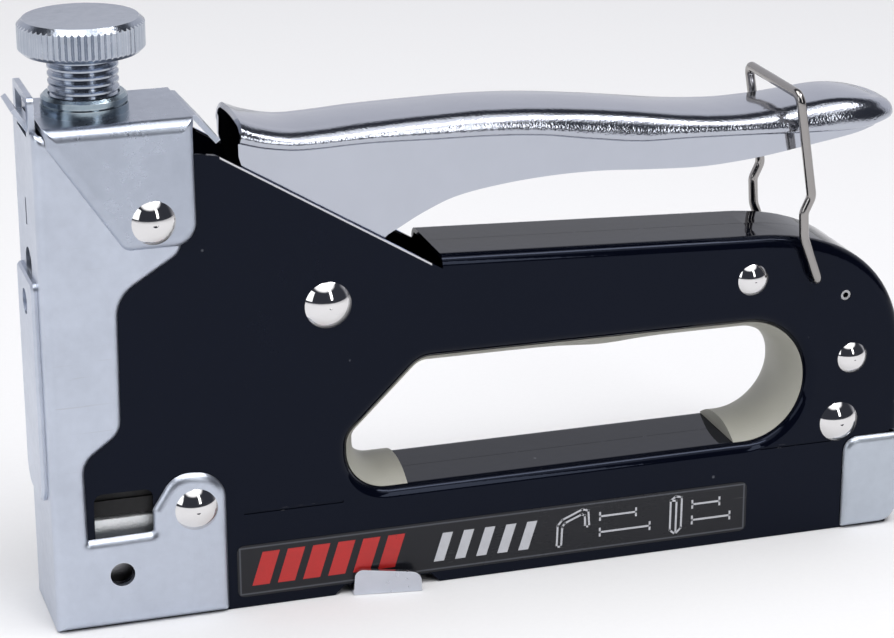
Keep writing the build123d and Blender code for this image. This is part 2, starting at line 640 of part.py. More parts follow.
def wire_bail():
    """Bent wire that hooks over the lever's tail."""
    root = (BAIL_X, -BAIL_ROOT_HALF, BAIL_Z)
    near = (root, *((x, -BAIL_HALF, z) for x, z in BAIL_BENDS))
    far = ((x, -y, z) for x, y, z in reversed(near))
    path = FilletPolyline(*near, *far, radius=BAIL_RADII + BAIL_RADII[::-1])
    section = Plane(origin=path @ 0, z_dir=path % 0) * Circle(BAIL_WIRE)
    return sweep(section, path=path)


# ---------------------------------------------------------------- fasteners
def pivot_rivet():
    """Large rivet on the lever's axis."""
    return dome_rivet(PIVOT_X, PIVOT_Z, PIVOT_RIVET, SHELL_HALF)


def large_rivets():
    """Rivets through the cap, the nose ear and the heel."""
    return Compound([dome_rivet(x, z, LARGE_RIVET, half) for x, z, half in RIVETS_LARGE])


def small_rivets():
    """Two small rivets that close the handle."""
    return Compound([dome_rivet(x, z, SMALL_RIVET, SHELL_HALF) for x, z in RIVETS_SMALL])


def spacer_tube(x, z, rivet):
    """Tube between the shells round a rivet's shank."""
    bore = rivet[1] + HOLE_PLAY
    tube = cross_pin(x, z, bore + TUBE_WALL, SHELL_HALF - SHELL_WALL - CLOSE_GAP)
    return tube - cross_pin(x, z, bore, PIERCE)


def spacer_tubes():
    """Tubes that keep the shells apart on the rear rivets."""
    heel_x, heel_z, _ = RIVETS_LARGE[2]
    tubes = [spacer_tube(x, z, SMALL_RIVET) for x, z in RIVETS_SMALL]
    return Compound([*tubes, spacer_tube(heel_x, heel_z, LARGE_RIVET)])


def retaining_pin():
    """Roll pin behind the bail."""
    return cross_pin(*PIN_SPOT, PIN_RADIUS, SHELL_HALF - PIN_SUNK) - cross_pin(*PIN_SPOT, PIN_BORE, PIERCE)


# ---------------------------------------------------------------- magazine
def magazine_channel():
    """Fixed trough that guides the staples' legs."""
    half = CHANNEL_HALF - CHANNEL_SIDE
    lip_low = CHANNEL_TOP_Z - CHANNEL_SIDE
    outer = box(CHANNEL_FRONT_X, -CHANNEL_HALF, CHANNEL_LOW_Z, CHANNEL_REAR_X, CHANNEL_HALF, CHANNEL_TOP_Z)
    inner = box(0, -half, CHANNEL_LOW_Z + CHANNEL_FLOOR, BEYOND_X[1], half, BEYOND_Z[1])
    lips = box(LIP_FRONT_X, -LIP_HALF, lip_low, CHANNEL_REAR_X, LIP_HALF, CHANNEL_TOP_Z)
    lips -= box(0, -half, 0, BEYOND_X[1], half, BEYOND_Z[1])
    return outer - inner + lips


def guide_block():
    """Zinc block over the front of the magazine, seen through the side windows."""
    block = box(BLOCK_FRONT_X, -BLOCK_HALF, CHANNEL_TOP_Z + CLOSE_GAP, BLOCK_REAR_X, BLOCK_HALF, BLOCK_TOP_Z)
    return chamfer(block.edges().filter_by(Axis.X).group_by(Axis.Z)[-1], BLOCK_BEVEL)


def staple_rail():
    """Sliding core that the staples straddle."""
    rear_x = GUARD_REAR_X - GUARD_WALL
    half = RAIL_HALF - RAIL_WALL
    outer = box(RAIL_FRONT_X, -RAIL_HALF, RAIL_LOW_Z, rear_x, RAIL_HALF, RAIL_TOP_Z)
    inner = box(RAIL_FRONT_X + RAIL_END_WALL, -half, 0, BEYOND_X[1], half, RAIL_TOP_Z - RAIL_WALL)
    return outer - inner


def end_guard():
    """Folded end plate of the sliding rail, wrapped round the shells' heel."""
    front_x, rear_x, inner_x = GUARD_FRONT_X, GUARD_REAR_X, GUARD_REAR_X - GUARD_WALL
    corners = ((front_x, GUARD_LOW_Z), (rear_x, GUARD_LOW_Z), (rear_x, GUARD_TOP_Z), (front_x, GUARD_TOP_Z))
    outer = slab(rounded(corners, GUARD_RADII), -GUARD_HALF, GUARD_HALF)
    upright = [e for e in outer.edges().filter_by(Axis.Z) if (e @ 0.5).X > rear_x - TOUCH]
    outer = fillet(upright, GUARD_BEND)
    half = GUARD_HALF - GUARD_WALL
    inner = box(0, -half, BEYOND_Z[0], inner_x, half, BEYOND_Z[1])
    thick, bridge_half, low, high = BRIDGE
    bridge = box(inner_x - thick, -bridge_half, low, rear_x - thick, bridge_half, high)
    return outer - inner + bridge - box(front_x, -RAIL_HALF, RAIL_LOW_Z, inner_x, RAIL_HALF, RAIL_TOP_Z)


def guide_rod():
    """Rod inside the rail that carries the pusher's spring."""
    length = GUARD_REAR_X - GUARD_WALL - ROD_END_GAP - ROD_FRONT_X
    return Pos(ROD_FRONT_X, 0, ROD_Z) * Rot(0, 90, 0) * Cylinder(ROD_RADIUS, length, align=UPRIGHT)


def pusher():
    """Saddle that rides the rail and presses on the last staple."""
    start = STRIP_REAR_X + 0.2
    end = start + PUSHER_LENGTH
    half = RAIL_HALF + PUSHER_PLAY
    core_half = RAIL_HALF - RAIL_WALL - 0.2
    outer = box(start, -PUSHER_HALF, PUSHER_LOW_Z, end, PUSHER_HALF, CHANNEL_TOP_Z - 0.1)
    hollow = box(start - 1, -half, RAIL_LOW_Z - PUSHER_PLAY, end + 1, half, RAIL_TOP_Z + 0.2)
    core_top = RAIL_TOP_Z - RAIL_WALL - PUSHER_PLAY
    core = box(start + 1, -core_half, PUSHER_LOW_Z + 0.1, end, core_half, core_top)
    tunnel = Rot(0, 90, 0) * Cylinder(PUSHER_TUNNEL_RADIUS, 2 * PUSHER_LENGTH)
    return outer - hollow + core - Pos((start + end) / 2, 0, ROD_Z) * tunnel


def pusher_spring():
    """Long spring round the guide rod."""
    start = STRIP_REAR_X + PUSHER_LENGTH + 1
    length = PUSHER_SPRING_REAR_X - start
    spring = coil(PUSHER_SPRING_RADIUS, PUSHER_SPRING_WIRE, PUSHER_SPRING_TURNS, length)
    return Pos(start, 0, ROD_Z) * Rot(0, 90, 0) * spring


def staple_strip():
    """Glued strip of staples standing over the rail."""
    crown_z = RAIL_TOP_Z + CLOSE_GAP
    top_z = crown_z + STAPLE_WIRE
    half = STAPLE_HALF - STAPLE_WIRE
    outer = box(STRIP_FRONT_X, -STAPLE_HALF, top_z - STAPLE_LEG, STRIP_REAR_X, STAPLE_HALF, top_z)
    return outer - box(0, -half, 0, BEYOND_X[1], half, crown_z)


def magazine_catch():
    """Spring catch in the foot: a strap under the trough with a flared thumb tab on each side."""
    strap = box(CATCH_FRONT_X, -CATCH_HALF, 0, CATCH_REAR_X, CATCH_HALF, CATCH_STRAP)
    tab = slab(rounded(TAB_SIDE, TAB_RADII), *TAB_REACH) & extrude(polygon(*TAB_PLAN), amount=TAB_HEIGHT)
    root = extrude(polygon(*TAB_ROOT), amount=CATCH_STRAP)
    return strap + tab + root + mirrored(tab) + mirrored(root)


def info_label():
    """Thin label on each side of the magazine."""
    face = rounded(LABEL, (LABEL_RADIUS,) * 4)
    near = slab(face, -SHELL_HALF - LABEL_FACE, -SHELL_HALF - LABEL_BACK)
    return Compound([near, mirrored(near)])


# ---------------------------------------------------------------- write the pieces
def build():
    """Every node by name."""
    near_shell = body_shell()
    return {
        "left_shell": near_shell,
        "right_shell": mirrored(near_shell),
        "grip_insert": grip_insert(),
        "nose_plate": nose_plate(),
        "front_cover": front_cover(),
        "top_cap": top_cap(),
        "adjuster_collar": adjuster_collar(),
        "tension_knob": tension_knob(),
        "spring_seat": spring_seat(),
        "drive_spring": drive_spring(),
        "plunger": plunger(),
        "driver_blade": driver_blade(),
        "rubber_bumper": rubber_bumper(),
        "lever": lever(),
        "lifter_arm": lifter_arm(),
        "lever_pin": lever_pin(),
        "lever_bush": lever_bush(),
        "pivot_rivet": pivot_rivet(),
        "large_rivets": large_rivets(),
        "small_rivets": small_rivets(),
        "spacer_tubes": spacer_tubes(),
        "retaining_pin": retaining_pin(),
        "wire_bail": wire_bail(),
        "magazine_channel": magazine_channel(),
        "guide_block": guide_block(),
        "staple_rail": staple_rail(),
        "end_guard": end_guard(),
        "guide_rod": guide_rod(),
        "pusher": pusher(),
        "pusher_spring": pusher_spring(),
        "staple_strip": staple_strip(),
        "magazine_catch": magazine_catch(),
        "info_label": info_label(),
    }


if __name__ == "__main__":
    os.makedirs("parts", exist_ok=True)
    for name, shape in build().items():
        export_step(place(shape), f"parts/{name}.step")
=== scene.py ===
"""Looks of a hand staple gun: finishes, sculpted lever and grip lining, springs, label print and studio."""
import logging
import math
from dataclasses import dataclass, field
from enum import Enum
from typing import Callable, Iterable, Sequence

import bmesh
import bpy
from mathutils import Matrix, Quaternion, Vector


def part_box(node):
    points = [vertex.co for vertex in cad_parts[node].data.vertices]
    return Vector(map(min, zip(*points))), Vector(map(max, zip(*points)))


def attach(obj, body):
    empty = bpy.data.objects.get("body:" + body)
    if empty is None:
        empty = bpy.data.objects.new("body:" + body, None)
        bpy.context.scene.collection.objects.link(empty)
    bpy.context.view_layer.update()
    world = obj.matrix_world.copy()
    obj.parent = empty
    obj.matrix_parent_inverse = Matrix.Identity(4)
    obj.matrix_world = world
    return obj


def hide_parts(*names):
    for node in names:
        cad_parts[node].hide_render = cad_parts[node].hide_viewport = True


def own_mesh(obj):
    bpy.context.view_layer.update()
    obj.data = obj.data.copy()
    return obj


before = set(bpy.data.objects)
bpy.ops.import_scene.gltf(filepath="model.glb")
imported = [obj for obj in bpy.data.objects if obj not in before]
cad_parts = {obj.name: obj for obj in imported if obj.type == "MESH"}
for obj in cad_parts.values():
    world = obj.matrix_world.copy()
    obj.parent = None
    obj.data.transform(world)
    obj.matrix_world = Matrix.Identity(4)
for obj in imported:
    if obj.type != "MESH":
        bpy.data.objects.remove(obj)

LOG = logging.getLogger("staple_gun")

Colour = tuple[float, float, float]
Point = tuple[float, float, float]
Flat = tuple[float, float]
Node = bpy.types.Node
Socket = bpy.types.NodeSocket
Thing = bpy.types.Object

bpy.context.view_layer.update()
MIDDLE_X = 90.5                 # millimetres from the nose's front wall to the row frame's origin
MILLIMETRE = 0.001
MERGE = 2e-6                    # corners closer than this become one
TINY = 1e-6


def row(x: float, y: float, z: float) -> Vector:
    """Place in the row frame, in metres, of a point in millimetres measured from the nose's front wall."""
    return Vector(((x - MIDDLE_X) * MILLIMETRE, y * MILLIMETRE, z * MILLIMETRE))


# ---------------------------------------------------------------- shader graph helpers
class Graph:
    """Adds and joins nodes in one node tree.

    Args:
        tree: The node tree that the nodes go into.
    """

    def __init__(self, tree: bpy.types.NodeTree) -> None:
        """Keeps the tree and starts the layout at its left edge."""
        self.tree = tree
        self._count = 0

    def add(self, kind: str, inputs: dict | None = None, **settings: object) -> Node:
        """Makes one node.

        Args:
            kind: Blender's name of the node type.
            inputs: Socket name or number, and the value or the output that feeds it.
            **settings: Properties set on the node itself.

        Returns:
            The new node.
        """
        made = self.tree.nodes.new(kind)
        made.location = (170.0 * (self._count % 12), -230.0 * (self._count // 12))
        self._count += 1
        for name, value in settings.items():
            setattr(made, name, value)
        for name, value in (inputs or {}).items():
            self.feed(made.inputs[name], value)
        return made

    def feed(self, socket: Socket, value: object) -> None:
        """Links an output to the socket, or sets the socket's own value."""
        if isinstance(value, Socket):
            self.tree.links.new(value, socket)
        elif isinstance(value, tuple) and len(value) == 3 and socket.type == "RGBA":
            socket.default_value = (*value, 1.0)
        else:
            socket.default_value = value

    def math(self, operation: str, first: object, second: object = 0.0, clamp: bool = False) -> Socket:
        """Result of one sum on two values."""
        made = self.add("ShaderNodeMath", {0: first, 1: second}, operation=operation, use_clamp=clamp)
        return made.outputs[0]

    def times(self, first: object, second: object, clamp: bool = False) -> Socket:
        """Product of two values."""
        return self.math("MULTIPLY", first, second, clamp)

    def plus(self, first: object, second: object) -> Socket:
        """Sum of two values."""
        return self.math("ADD", first, second)

    def spot(self) -> Socket:
        """Place on the object, in its own metres."""
        return self.add("ShaderNodeTexCoord").outputs["Object"]

    def dot(self, first: object, second: object) -> Socket:
        """How far two directions agree, or how far a place lies along a direction."""
        made = self.add("ShaderNodeVectorMath", {0: first, 1: second}, operation="DOT_PRODUCT")
        return made.outputs["Value"]

    def remap(self, value: object, low: float, high: float, to_low: float = 0.0,
              to_high: float = 1.0, smooth: bool = False) -> Socket:
        """Value moved from one range to another, held at the ends."""
        style = "SMOOTHSTEP" if smooth else "LINEAR"
        made = self.add("ShaderNodeMapRange", {0: value, 1: low, 2: high, 3: to_low, 4: to_high},
                        interpolation_type=style)
        return made.outputs[0]

    def mix(self, factor: object, first: object, second: object) -> Socket:
        """Two colours mixed by a factor."""
        return self.add("ShaderNodeMix", {0: factor, 6: first, 7: second}, data_type="RGBA").outputs[2]

    def stretched(self, vector: object, scale: Point) -> Socket:
        """Vector scaled by a different amount along each axis."""
        made = self.add("ShaderNodeVectorMath", {0: vector, 1: scale}, operation="MULTIPLY")
        return made.outputs[0]

    def noise(self, vector: object, scale: object, detail: float = 4.0, rough: float = 0.55) -> Socket:
        """Cloudy value between 0 and 1."""
        made = self.add("ShaderNodeTexNoise", {"Vector": vector, "Scale": scale, "Detail": detail,
                                               "Roughness": rough})
        return made.outputs[0]


class Effect:
    """A shader node group that several finishes share, built the first time it is used."""

    _built: dict[str, bpy.types.NodeTree] = {}

    def __init__(self, name: str, inputs: Sequence[tuple[str, float]], output: str,
                 recipe: Callable[[Graph, Node, Node], None]) -> None:
        """Keeps the group's sockets and the function that fills it.

        Args:
            name: The group's name.
            inputs: Name and first value of each input.
            output: Name of what it puts out.
            recipe: Fills the tree between its input and output nodes.
        """
        self.name = name
        self.inputs = inputs
        self.output = output
        self.recipe = recipe

    def tree(self) -> bpy.types.NodeTree:
        """The group's tree, made once."""
        if self.name not in self._built:
            made = bpy.data.node_groups.new(self.name, "ShaderNodeTree")
            for label, value in self.inputs:
                socket = made.interface.new_socket(name=label, in_out="INPUT", socket_type="NodeSocketFloat")
                socket.default_value = value
            made.interface.new_socket(name=self.output, in_out="OUTPUT", socket_type="NodeSocketFloat")
            graph = Graph(made)
            start = graph.add("NodeGroupInput")
            end = graph.add("NodeGroupOutput")
            self.recipe(graph, start, end)
            self._built[self.name] = made
        return self._built[self.name]

    def place(self, graph: Graph, **values: object) -> Socket:
        """Puts the group in a material.

        Args:
            graph: The material's graph.
            **values: Input values by name, with underscores for spaces.

        Returns:
            What the group puts out.
        """
        made = graph.add("ShaderNodeGroup", node_tree=self.tree())
        for name, value in values.items():
            graph.feed(made.inputs[name.replace("_", " ")], value)
        return made.outputs[0]


def fill_mottle(graph: Graph, start: Node, end: Node) -> None:
    """Broad clouds with finer spots over them, as plating shows."""
    finer, broad_share, fine_share = 7.3, 0.68, 0.32
    broad = graph.noise(graph.spot(), start.outputs["Scale"], detail=5.0, rough=0.6)
    fine = graph.noise(graph.spot(), graph.times(start.outputs["Scale"], finer), detail=3.0, rough=0.5)
    both = graph.plus(graph.times(broad, broad_share), graph.times(fine, fine_share))
    spread = graph.times(graph.math("SUBTRACT", both, 0.5), start.outputs["Contrast"])
    graph.feed(end.inputs["Value"], graph.math("ADD", spread, 0.5, clamp=True))


def fill_edge_wear(graph: Graph, start: Node, end: Node) -> None:
    """Mask of the outer edges, broken up by noise."""
    patch_scale, patch_full = 420.0, 0.72
    bevel = graph.add("ShaderNodeBevel", {"Radius": start.outputs["Width"]}, samples=4)
    flat = graph.add("ShaderNodeNewGeometry").outputs["Normal"]
    bent = graph.math("SUBTRACT", 1.0, graph.dot(bevel.outputs[0], flat))
    edge = graph.remap(bent, 0.015, 0.16, smooth=True)
    patches = graph.noise(graph.spot(), patch_scale, detail=5.0, rough=0.65)
    broken = graph.remap(patches, start.outputs["Break Up"], patch_full)
    graph.feed(end.inputs["Mask"], graph.times(edge, broken, clamp=True))


def fill_orange_peel(graph: Graph, start: Node, end: Node) -> None:
    """Small soft dimples over a longer ripple."""
    longer = 0.13
    dimples = graph.noise(graph.spot(), start.outputs["Scale"], detail=2.0, rough=0.4)
    ripple = graph.noise(graph.spot(), graph.times(start.outputs["Scale"], longer), detail=1.0, rough=0.4)
    graph.feed(end.inputs["Height"], graph.plus(dimples, graph.times(ripple, start.outputs["Ripple"])))


def fill_smudges(graph: Graph, start: Node, end: Node) -> None:
    """Soft handling marks, with finer streaks in them."""
    patch_scale, streak_scale, streak_stretch = 38.0, 620.0, (0.35, 1.0, 2.2)
    patches = graph.noise(graph.spot(), patch_scale, detail=4.0, rough=0.6)
    patch = graph.remap(patches, 0.47, 0.68, smooth=True)
    streaks = graph.noise(graph.stretched(graph.spot(), streak_stretch), streak_scale, detail=4.0, rough=0.6)
    marks = graph.times(patch, streaks)
    graph.feed(end.inputs["Mask"], graph.times(marks, start.outputs["Amount"], clamp=True))


def fill_scratches(graph: Graph, start: Node, end: Node) -> None:
    """Fine lines in two directions, thinned out by a patchy mask."""
    turns, stretch, patch_scale = ((0.0, 0.35, 0.0), (0.0, -0.8, 0.4)), (60.0, 900.0, 1500.0), 55.0
    found = []
    for turn in turns:
        turned = graph.add("ShaderNodeMapping", {"Vector": graph.spot(), "Rotation": turn, "Scale": stretch})
        lines = graph.noise(turned.outputs[0], 1.0, detail=2.0, rough=0.5)
        found.append(graph.remap(lines, 0.71, 0.76))
    both = graph.math("MAXIMUM", found[0], found[1])
    patch = graph.remap(graph.noise(graph.spot(), patch_scale, detail=2.0), 0.48, 0.66)
    thin = graph.times(both, patch)
    graph.feed(end.inputs["Mask"], graph.times(thin, start.outputs["Amount"], clamp=True))


def fill_specks(graph: Graph, start: Node, end: Node) -> None:
    """Scattered dust specks and pin pricks."""
    cells = graph.add("ShaderNodeTexVoronoi", {"Vector": graph.spot(), "Scale": start.outputs["Scale"],
                                               "Randomness": 1.0})
    dot = graph.remap(cells.outputs["Distance"], 0.05, 0.10, 1.0, 0.0)
    chosen = graph.add("ShaderNodeSeparateColor", {0: cells.outputs["Color"]}).outputs[0]
    rare = graph.math("GREATER_THAN", chosen, start.outputs["Rarity"])
    graph.feed(end.inputs["Mask"], graph.times(dot, rare))


MOTTLE = Effect("mottle", (("Scale", 60.0), ("Contrast", 1.0)), "Value", fill_mottle)
EDGE_WEAR = Effect("edge_wear", (("Width", 0.0004), ("Break Up", 0.3)), "Mask", fill_edge_wear)
ORANGE_PEEL = Effect("orange_peel", (("Scale", 900.0), ("Ripple", 1.0)), "Height", fill_orange_peel)
SMUDGES = Effect("smudges", (("Amount", 1.0),), "Mask", fill_smudges)
SCRATCHES = Effect("scratches", (("Amount", 1.0),), "Mask", fill_scratches)
SPECKS = Effect("specks", (("Scale", 260.0), ("Rarity", 0.93)), "Mask", fill_specks)


# ---------------------------------------------------------------- finishes
def shaded(colour: Colour, factor: float) -> Colour:
    """Colour made darker or lighter by a factor, held at full."""
    return tuple(min(1.0, part * factor) for part in colour)


@dataclass(frozen=True)
class Finish:
    """One surface finish; each kind adds its own nodes in dress()."""

    name: str
    colour: Colour

    def material(self) -> bpy.types.Material:
        """The finish's material, made once."""
        own_name = f"{self.name}_finish"
        found = bpy.data.materials.get(own_name)
        if found is None:
            found = bpy.data.materials.new(own_name)
            found.use_nodes = True
            found.diffuse_color = (*self.colour, 1.0)
            found.node_tree.nodes.clear()
            graph = Graph(found.node_tree)
            output = graph.add("ShaderNodeOutputMaterial")
            shader = graph.add("ShaderNodeBsdfPrincipled")
            graph.feed(output.inputs["Surface"], shader.outputs[0])
            self.dress(graph, shader)
        return found

    def dress(self, graph: Graph, shader: Node) -> None:
        """Adds the finish's own nodes to the shader."""
        raise NotImplementedError

    def coat(self, graph: Graph, shader: Node, colour: object, rough: object, height: object,
             strength: float, depth: float) -> None:
        """Joins the finish's results to the shader.

        Args:
            graph: The material's graph.
            shader: Its shader.
            colour: What feeds the base colour.
            rough: What feeds the roughness.
            height: What raises and sinks the surface.
            strength: How strongly the height shows.
            depth: How far a full height rises, metres.
        """
        graph.feed(shader.inputs["Base Color"], colour)
        graph.feed(shader.inputs["Roughness"], rough)
        bump = graph.add("ShaderNodeBump", {"Strength": strength, "Distance": depth, "Height": height})
        graph.feed(shader.inputs["Normal"], bump.outputs[0])

    def apply(self, thing: Thing) -> None:
        """Gives an object this finish alone."""
        thing.data.materials.clear()
        thing.data.materials.append(self.material())


@dataclass(frozen=True)
class StovedEnamel(Finish):
    """Deep gloss enamel over pressed steel, thin at its sharp edges and bare along the sheared one."""

    steel: Colour = (0.62, 0.62, 0.65)
    sheen: Colour = (0.58, 0.68, 0.96)
    dust: Colour = (0.16, 0.17, 0.19)
    dust_share: float = 0.5
    dust_rise: float = 1.5
    deep: float = 0.7                       # factor of the colour in the darker clouds
    wear: float = 0.55
    index: float = 1.28
    gloss: float = 0.035                    # roughness where clean
    hazed: float = 0.22                     # added where handled
    bared: float = 0.2                      # added where the steel shows
    relief: float = 0.014
    shear_slope: Flat = (0.5205, 0.8539)    # normal of the sheared edge, in x and z
    shear_reach: float = 0.053088           # how far out along it the edge lies
    shear_width: float = 0.0004
    shear_fade: float = 0.7                 # share of the width at which the bare edge is full
    shear_from: float = (36.0 - MIDDLE_X) * MILLIMETRE
    shear_to: float = (78.5 - MIDDLE_X) * MILLIMETRE

    def sheared_edge(self, graph: Graph) -> Socket:
        """Mask of the sheet's bare cut edge on the sloping shoulder."""
        reach = graph.dot(graph.spot(), (self.shear_slope[0], 0.0, self.shear_slope[1]))
        begun = self.shear_reach - self.shear_width
        full = self.shear_reach - self.shear_fade * self.shear_width
        cut = graph.remap(reach, begun, full)
        along = graph.add("ShaderNodeSeparateXYZ", {0: graph.spot()}).outputs[0]
        behind = graph.math("GREATER_THAN", along, self.shear_from)
        before = graph.math("LESS_THAN", along, self.shear_to)
        return graph.times(cut, graph.times(behind, before))

    def dress(self, graph: Graph, shader: Node) -> None:
        """Dark body colour, floating specks, smudged gloss and bare steel at the edges."""
        worn = EDGE_WEAR.place(graph, Width=0.00022, Break_Up=0.58)
        bare = graph.math("MAXIMUM", graph.times(worn, self.wear), self.sheared_edge(graph))
        clouds = MOTTLE.place(graph, Scale=22.0, Contrast=1.3)
        body = graph.mix(clouds, shaded(self.colour, self.deep), self.colour)
        specks = SPECKS.place(graph, Scale=240.0, Rarity=0.95)
        dusty = graph.mix(graph.times(specks, self.dust_share), body, self.dust)
        graph.feed(shader.inputs["Metallic"], bare)
        shader.inputs["IOR"].default_value = self.index
        shader.inputs["Specular Tint"].default_value = (*self.sheen, 1.0)
        smudge = SMUDGES.place(graph, Amount=0.35)
        gloss = graph.plus(self.gloss, graph.times(smudge, self.hazed))
        rough = graph.plus(gloss, graph.times(bare, self.bared))
        peel = ORANGE_PEEL.place(graph, Scale=520.0, Ripple=1.6)
        height = graph.plus(peel, graph.times(specks, self.dust_rise))
        self.coat(graph, shader, graph.mix(bare, dusty, self.steel), rough, height, self.relief, 0.001)


@dataclass(frozen=True)
class ZincPlate(Finish):
    """Bright zinc on rolled steel: satin, faintly clouded and brushed one way."""

    roughness: float = 0.3
    cloud: float = 0.09
    brush: Point = (1400.0, 1400.0, 90.0)
    wear: float = 0.6
    bump: float = 0.05
    rubbed: Colour = (0.9, 0.9, 0.91)
    marked: Colour = (0.42, 0.43, 0.46)
    bright_share: float = 0.6       # the clouds lighten less than they darken
    satin: float = 0.05             # how far the clouds change the roughness
    hazed: float = 0.16
    grain: float = 1900.0
    line_share: float = 0.6

    def dress(self, graph: Graph, shader: Node) -> None:
        """Clouded colour, rolling lines, rubbed edges and small handling marks."""
        clouds = MOTTLE.place(graph, Scale=75.0, Contrast=2.0)
        bright = shaded(self.colour, 1.0 + self.cloud * self.bright_share)
        plate = graph.mix(clouds, shaded(self.colour, 1.0 - self.cloud), bright)
        worn = EDGE_WEAR.place(graph, Width=0.00035, Break_Up=0.25)
        edged = graph.mix(graph.times(worn, self.wear), plate, self.rubbed)
        marks = SCRATCHES.place(graph, Amount=0.4)
        shader.inputs["Metallic"].default_value = 1.0
        smudge = SMUDGES.place(graph, Amount=0.7)
        satin = graph.remap(clouds, 0.2, 0.8, self.roughness + self.satin, self.roughness - self.satin)
        rough = graph.plus(satin, graph.times(smudge, self.hazed))
        lines = graph.noise(graph.stretched(graph.spot(), self.brush), 1.0, detail=3.0, rough=0.6)
        grain = graph.noise(graph.spot(), self.grain, detail=3.0, rough=0.6)
        height = graph.plus(graph.times(lines, self.line_share), grain)
        self.coat(graph, shader, graph.mix(marks, edged, self.marked), rough, height, self.bump, 0.0008)


@dataclass(frozen=True)
class BrightChrome(Finish):
    """Polished plating; it may carry a grained band marked on the mesh, and shallow dents."""

    roughness: float = 0.07
    grained: bool = False
    ripple: float = 0.02
    dim: float = 0.87
    marked: Colour = (0.5, 0.5, 0.52)
    hazed: float = 0.12
    grain_rise: float = 0.10
    grain_dull: float = 0.05
    dent_scale: float = 42.0
    dent_rise: float = 1.1

    def dress(self, graph: Graph, shader: Node) -> None:
        """Mirror plating with faint clouds, smudges and the grain of the drawn steel."""
        clouds = MOTTLE.place(graph, Scale=45.0, Contrast=1.2)
        tint = graph.mix(clouds, shaded(self.colour, self.dim), self.colour)
        marks = SCRATCHES.place(graph, Amount=0.18)
        shader.inputs["Metallic"].default_value = 1.0
        smudge = SMUDGES.place(graph, Amount=0.4)
        rough = graph.plus(self.roughness, graph.times(smudge, self.hazed))
        wave = ORANGE_PEEL.place(graph, Scale=260.0, Ripple=2.0)
        height = graph.times(wave, self.ripple)
        if self.grained:
            band = graph.add("ShaderNodeAttribute", attribute_name="grain").outputs["Fac"]
            peel = ORANGE_PEEL.place(graph, Scale=2300.0, Ripple=0.8)
            height = graph.plus(height, graph.times(graph.times(peel, band), self.grain_rise))
            dents = graph.noise(graph.spot(), self.dent_scale, detail=1.0)
            height = graph.plus(height, graph.times(dents, self.dent_rise))
            rough = graph.plus(rough, graph.times(band, self.grain_dull))
        self.coat(graph, shader, graph.mix(marks, tint, self.marked), rough, height, 1.0, 0.0005)


@dataclass(frozen=True)
class MouldedPlastic(Finish):
    """Matt moulded plastic with a fine spark texture and soiling from hands."""

    soiled: Colour = (0.3, 0.28, 0.23)
    soil_share: float = 0.5
    pale: float = 1.05
    dim: float = 0.92
    roughness: float = 0.5
    uneven: float = 0.07
    grain: float = 0.12
    grain_scale: float = 2600.0
    index: float = 1.46

    def dress(self, graph: Graph, shader: Node) -> None:
        """Body colour, soiling in patches and a spark-eroded surface."""
        clouds = MOTTLE.place(graph, Scale=40.0, Contrast=1.6)
        body = graph.mix(clouds, shaded(self.colour, self.dim), shaded(self.colour, self.pale))
        smudge = SMUDGES.place(graph, Amount=0.5)
        colour = graph.mix(graph.times(smudge, self.soil_share), body, self.soiled)
        rough = graph.remap(clouds, 0.2, 0.8, self.roughness - self.uneven, self.roughness + self.uneven)
        shader.inputs["IOR"].default_value = self.index
        spark = graph.noise(graph.spot(), self.grain_scale, detail=3.0, rough=0.6)
        self.coat(graph, shader, colour, rough, spark, self.grain, 0.0004)


@dataclass(frozen=True)
class PrintedFilm(Finish):
    """Dark label film with a thin border line printed just inside its edge."""

    border: Colour = (0.085, 0.09, 0.105)
    scuffed: Colour = (0.12, 0.12, 0.13)
    low: Flat = (0.0, 0.0)          # lower corner of the border in x and z, metres
    high: Flat = (0.0, 0.0)
    line: float = 0.00022
    dim: float = 0.8
    roughness: float = 0.22
    hazed: float = 0.3
    index: float = 1.36
    relief: float = 0.03

    def border_line(self, graph: Graph) -> Socket:
        """Mask of the printed border."""
        split = graph.add("ShaderNodeSeparateXYZ", {0: graph.spot()})
        inset = []
        for axis, low, high in ((0, self.low[0], self.high[0]), (2, self.low[1], self.high[1])):
            middle, half = (low + high) / 2, (high - low) / 2
            away = graph.math("ABSOLUTE", graph.math("SUBTRACT", split.outputs[axis], middle))
            inset.append(graph.math("SUBTRACT", half, away))
        nearest = graph.math("MINIMUM", inset[0], inset[1])
        return graph.remap(graph.math("ABSOLUTE", nearest), self.line * 0.4, self.line, 1.0, 0.0)

    def dress(self, graph: Graph, shader: Node) -> None:
        """Film colour, printed border, light scuffs and film ripple."""
        clouds = MOTTLE.place(graph, Scale=35.0, Contrast=1.4)
        film = graph.mix(clouds, shaded(self.colour, self.dim), self.colour)
        scuffs = SCRATCHES.place(graph, Amount=0.3)
        colour = graph.mix(self.border_line(graph), graph.mix(scuffs, film, self.scuffed), self.border)
        smudge = SMUDGES.place(graph, Amount=0.6)
        rough = graph.plus(self.roughness, graph.times(smudge, self.hazed))
        shader.inputs["IOR"].default_value = self.index
        ripple = ORANGE_PEEL.place(graph, Scale=300.0, Ripple=2.0)
        self.coat(graph, shader, colour, rough, ripple, self.relief, 0.001)


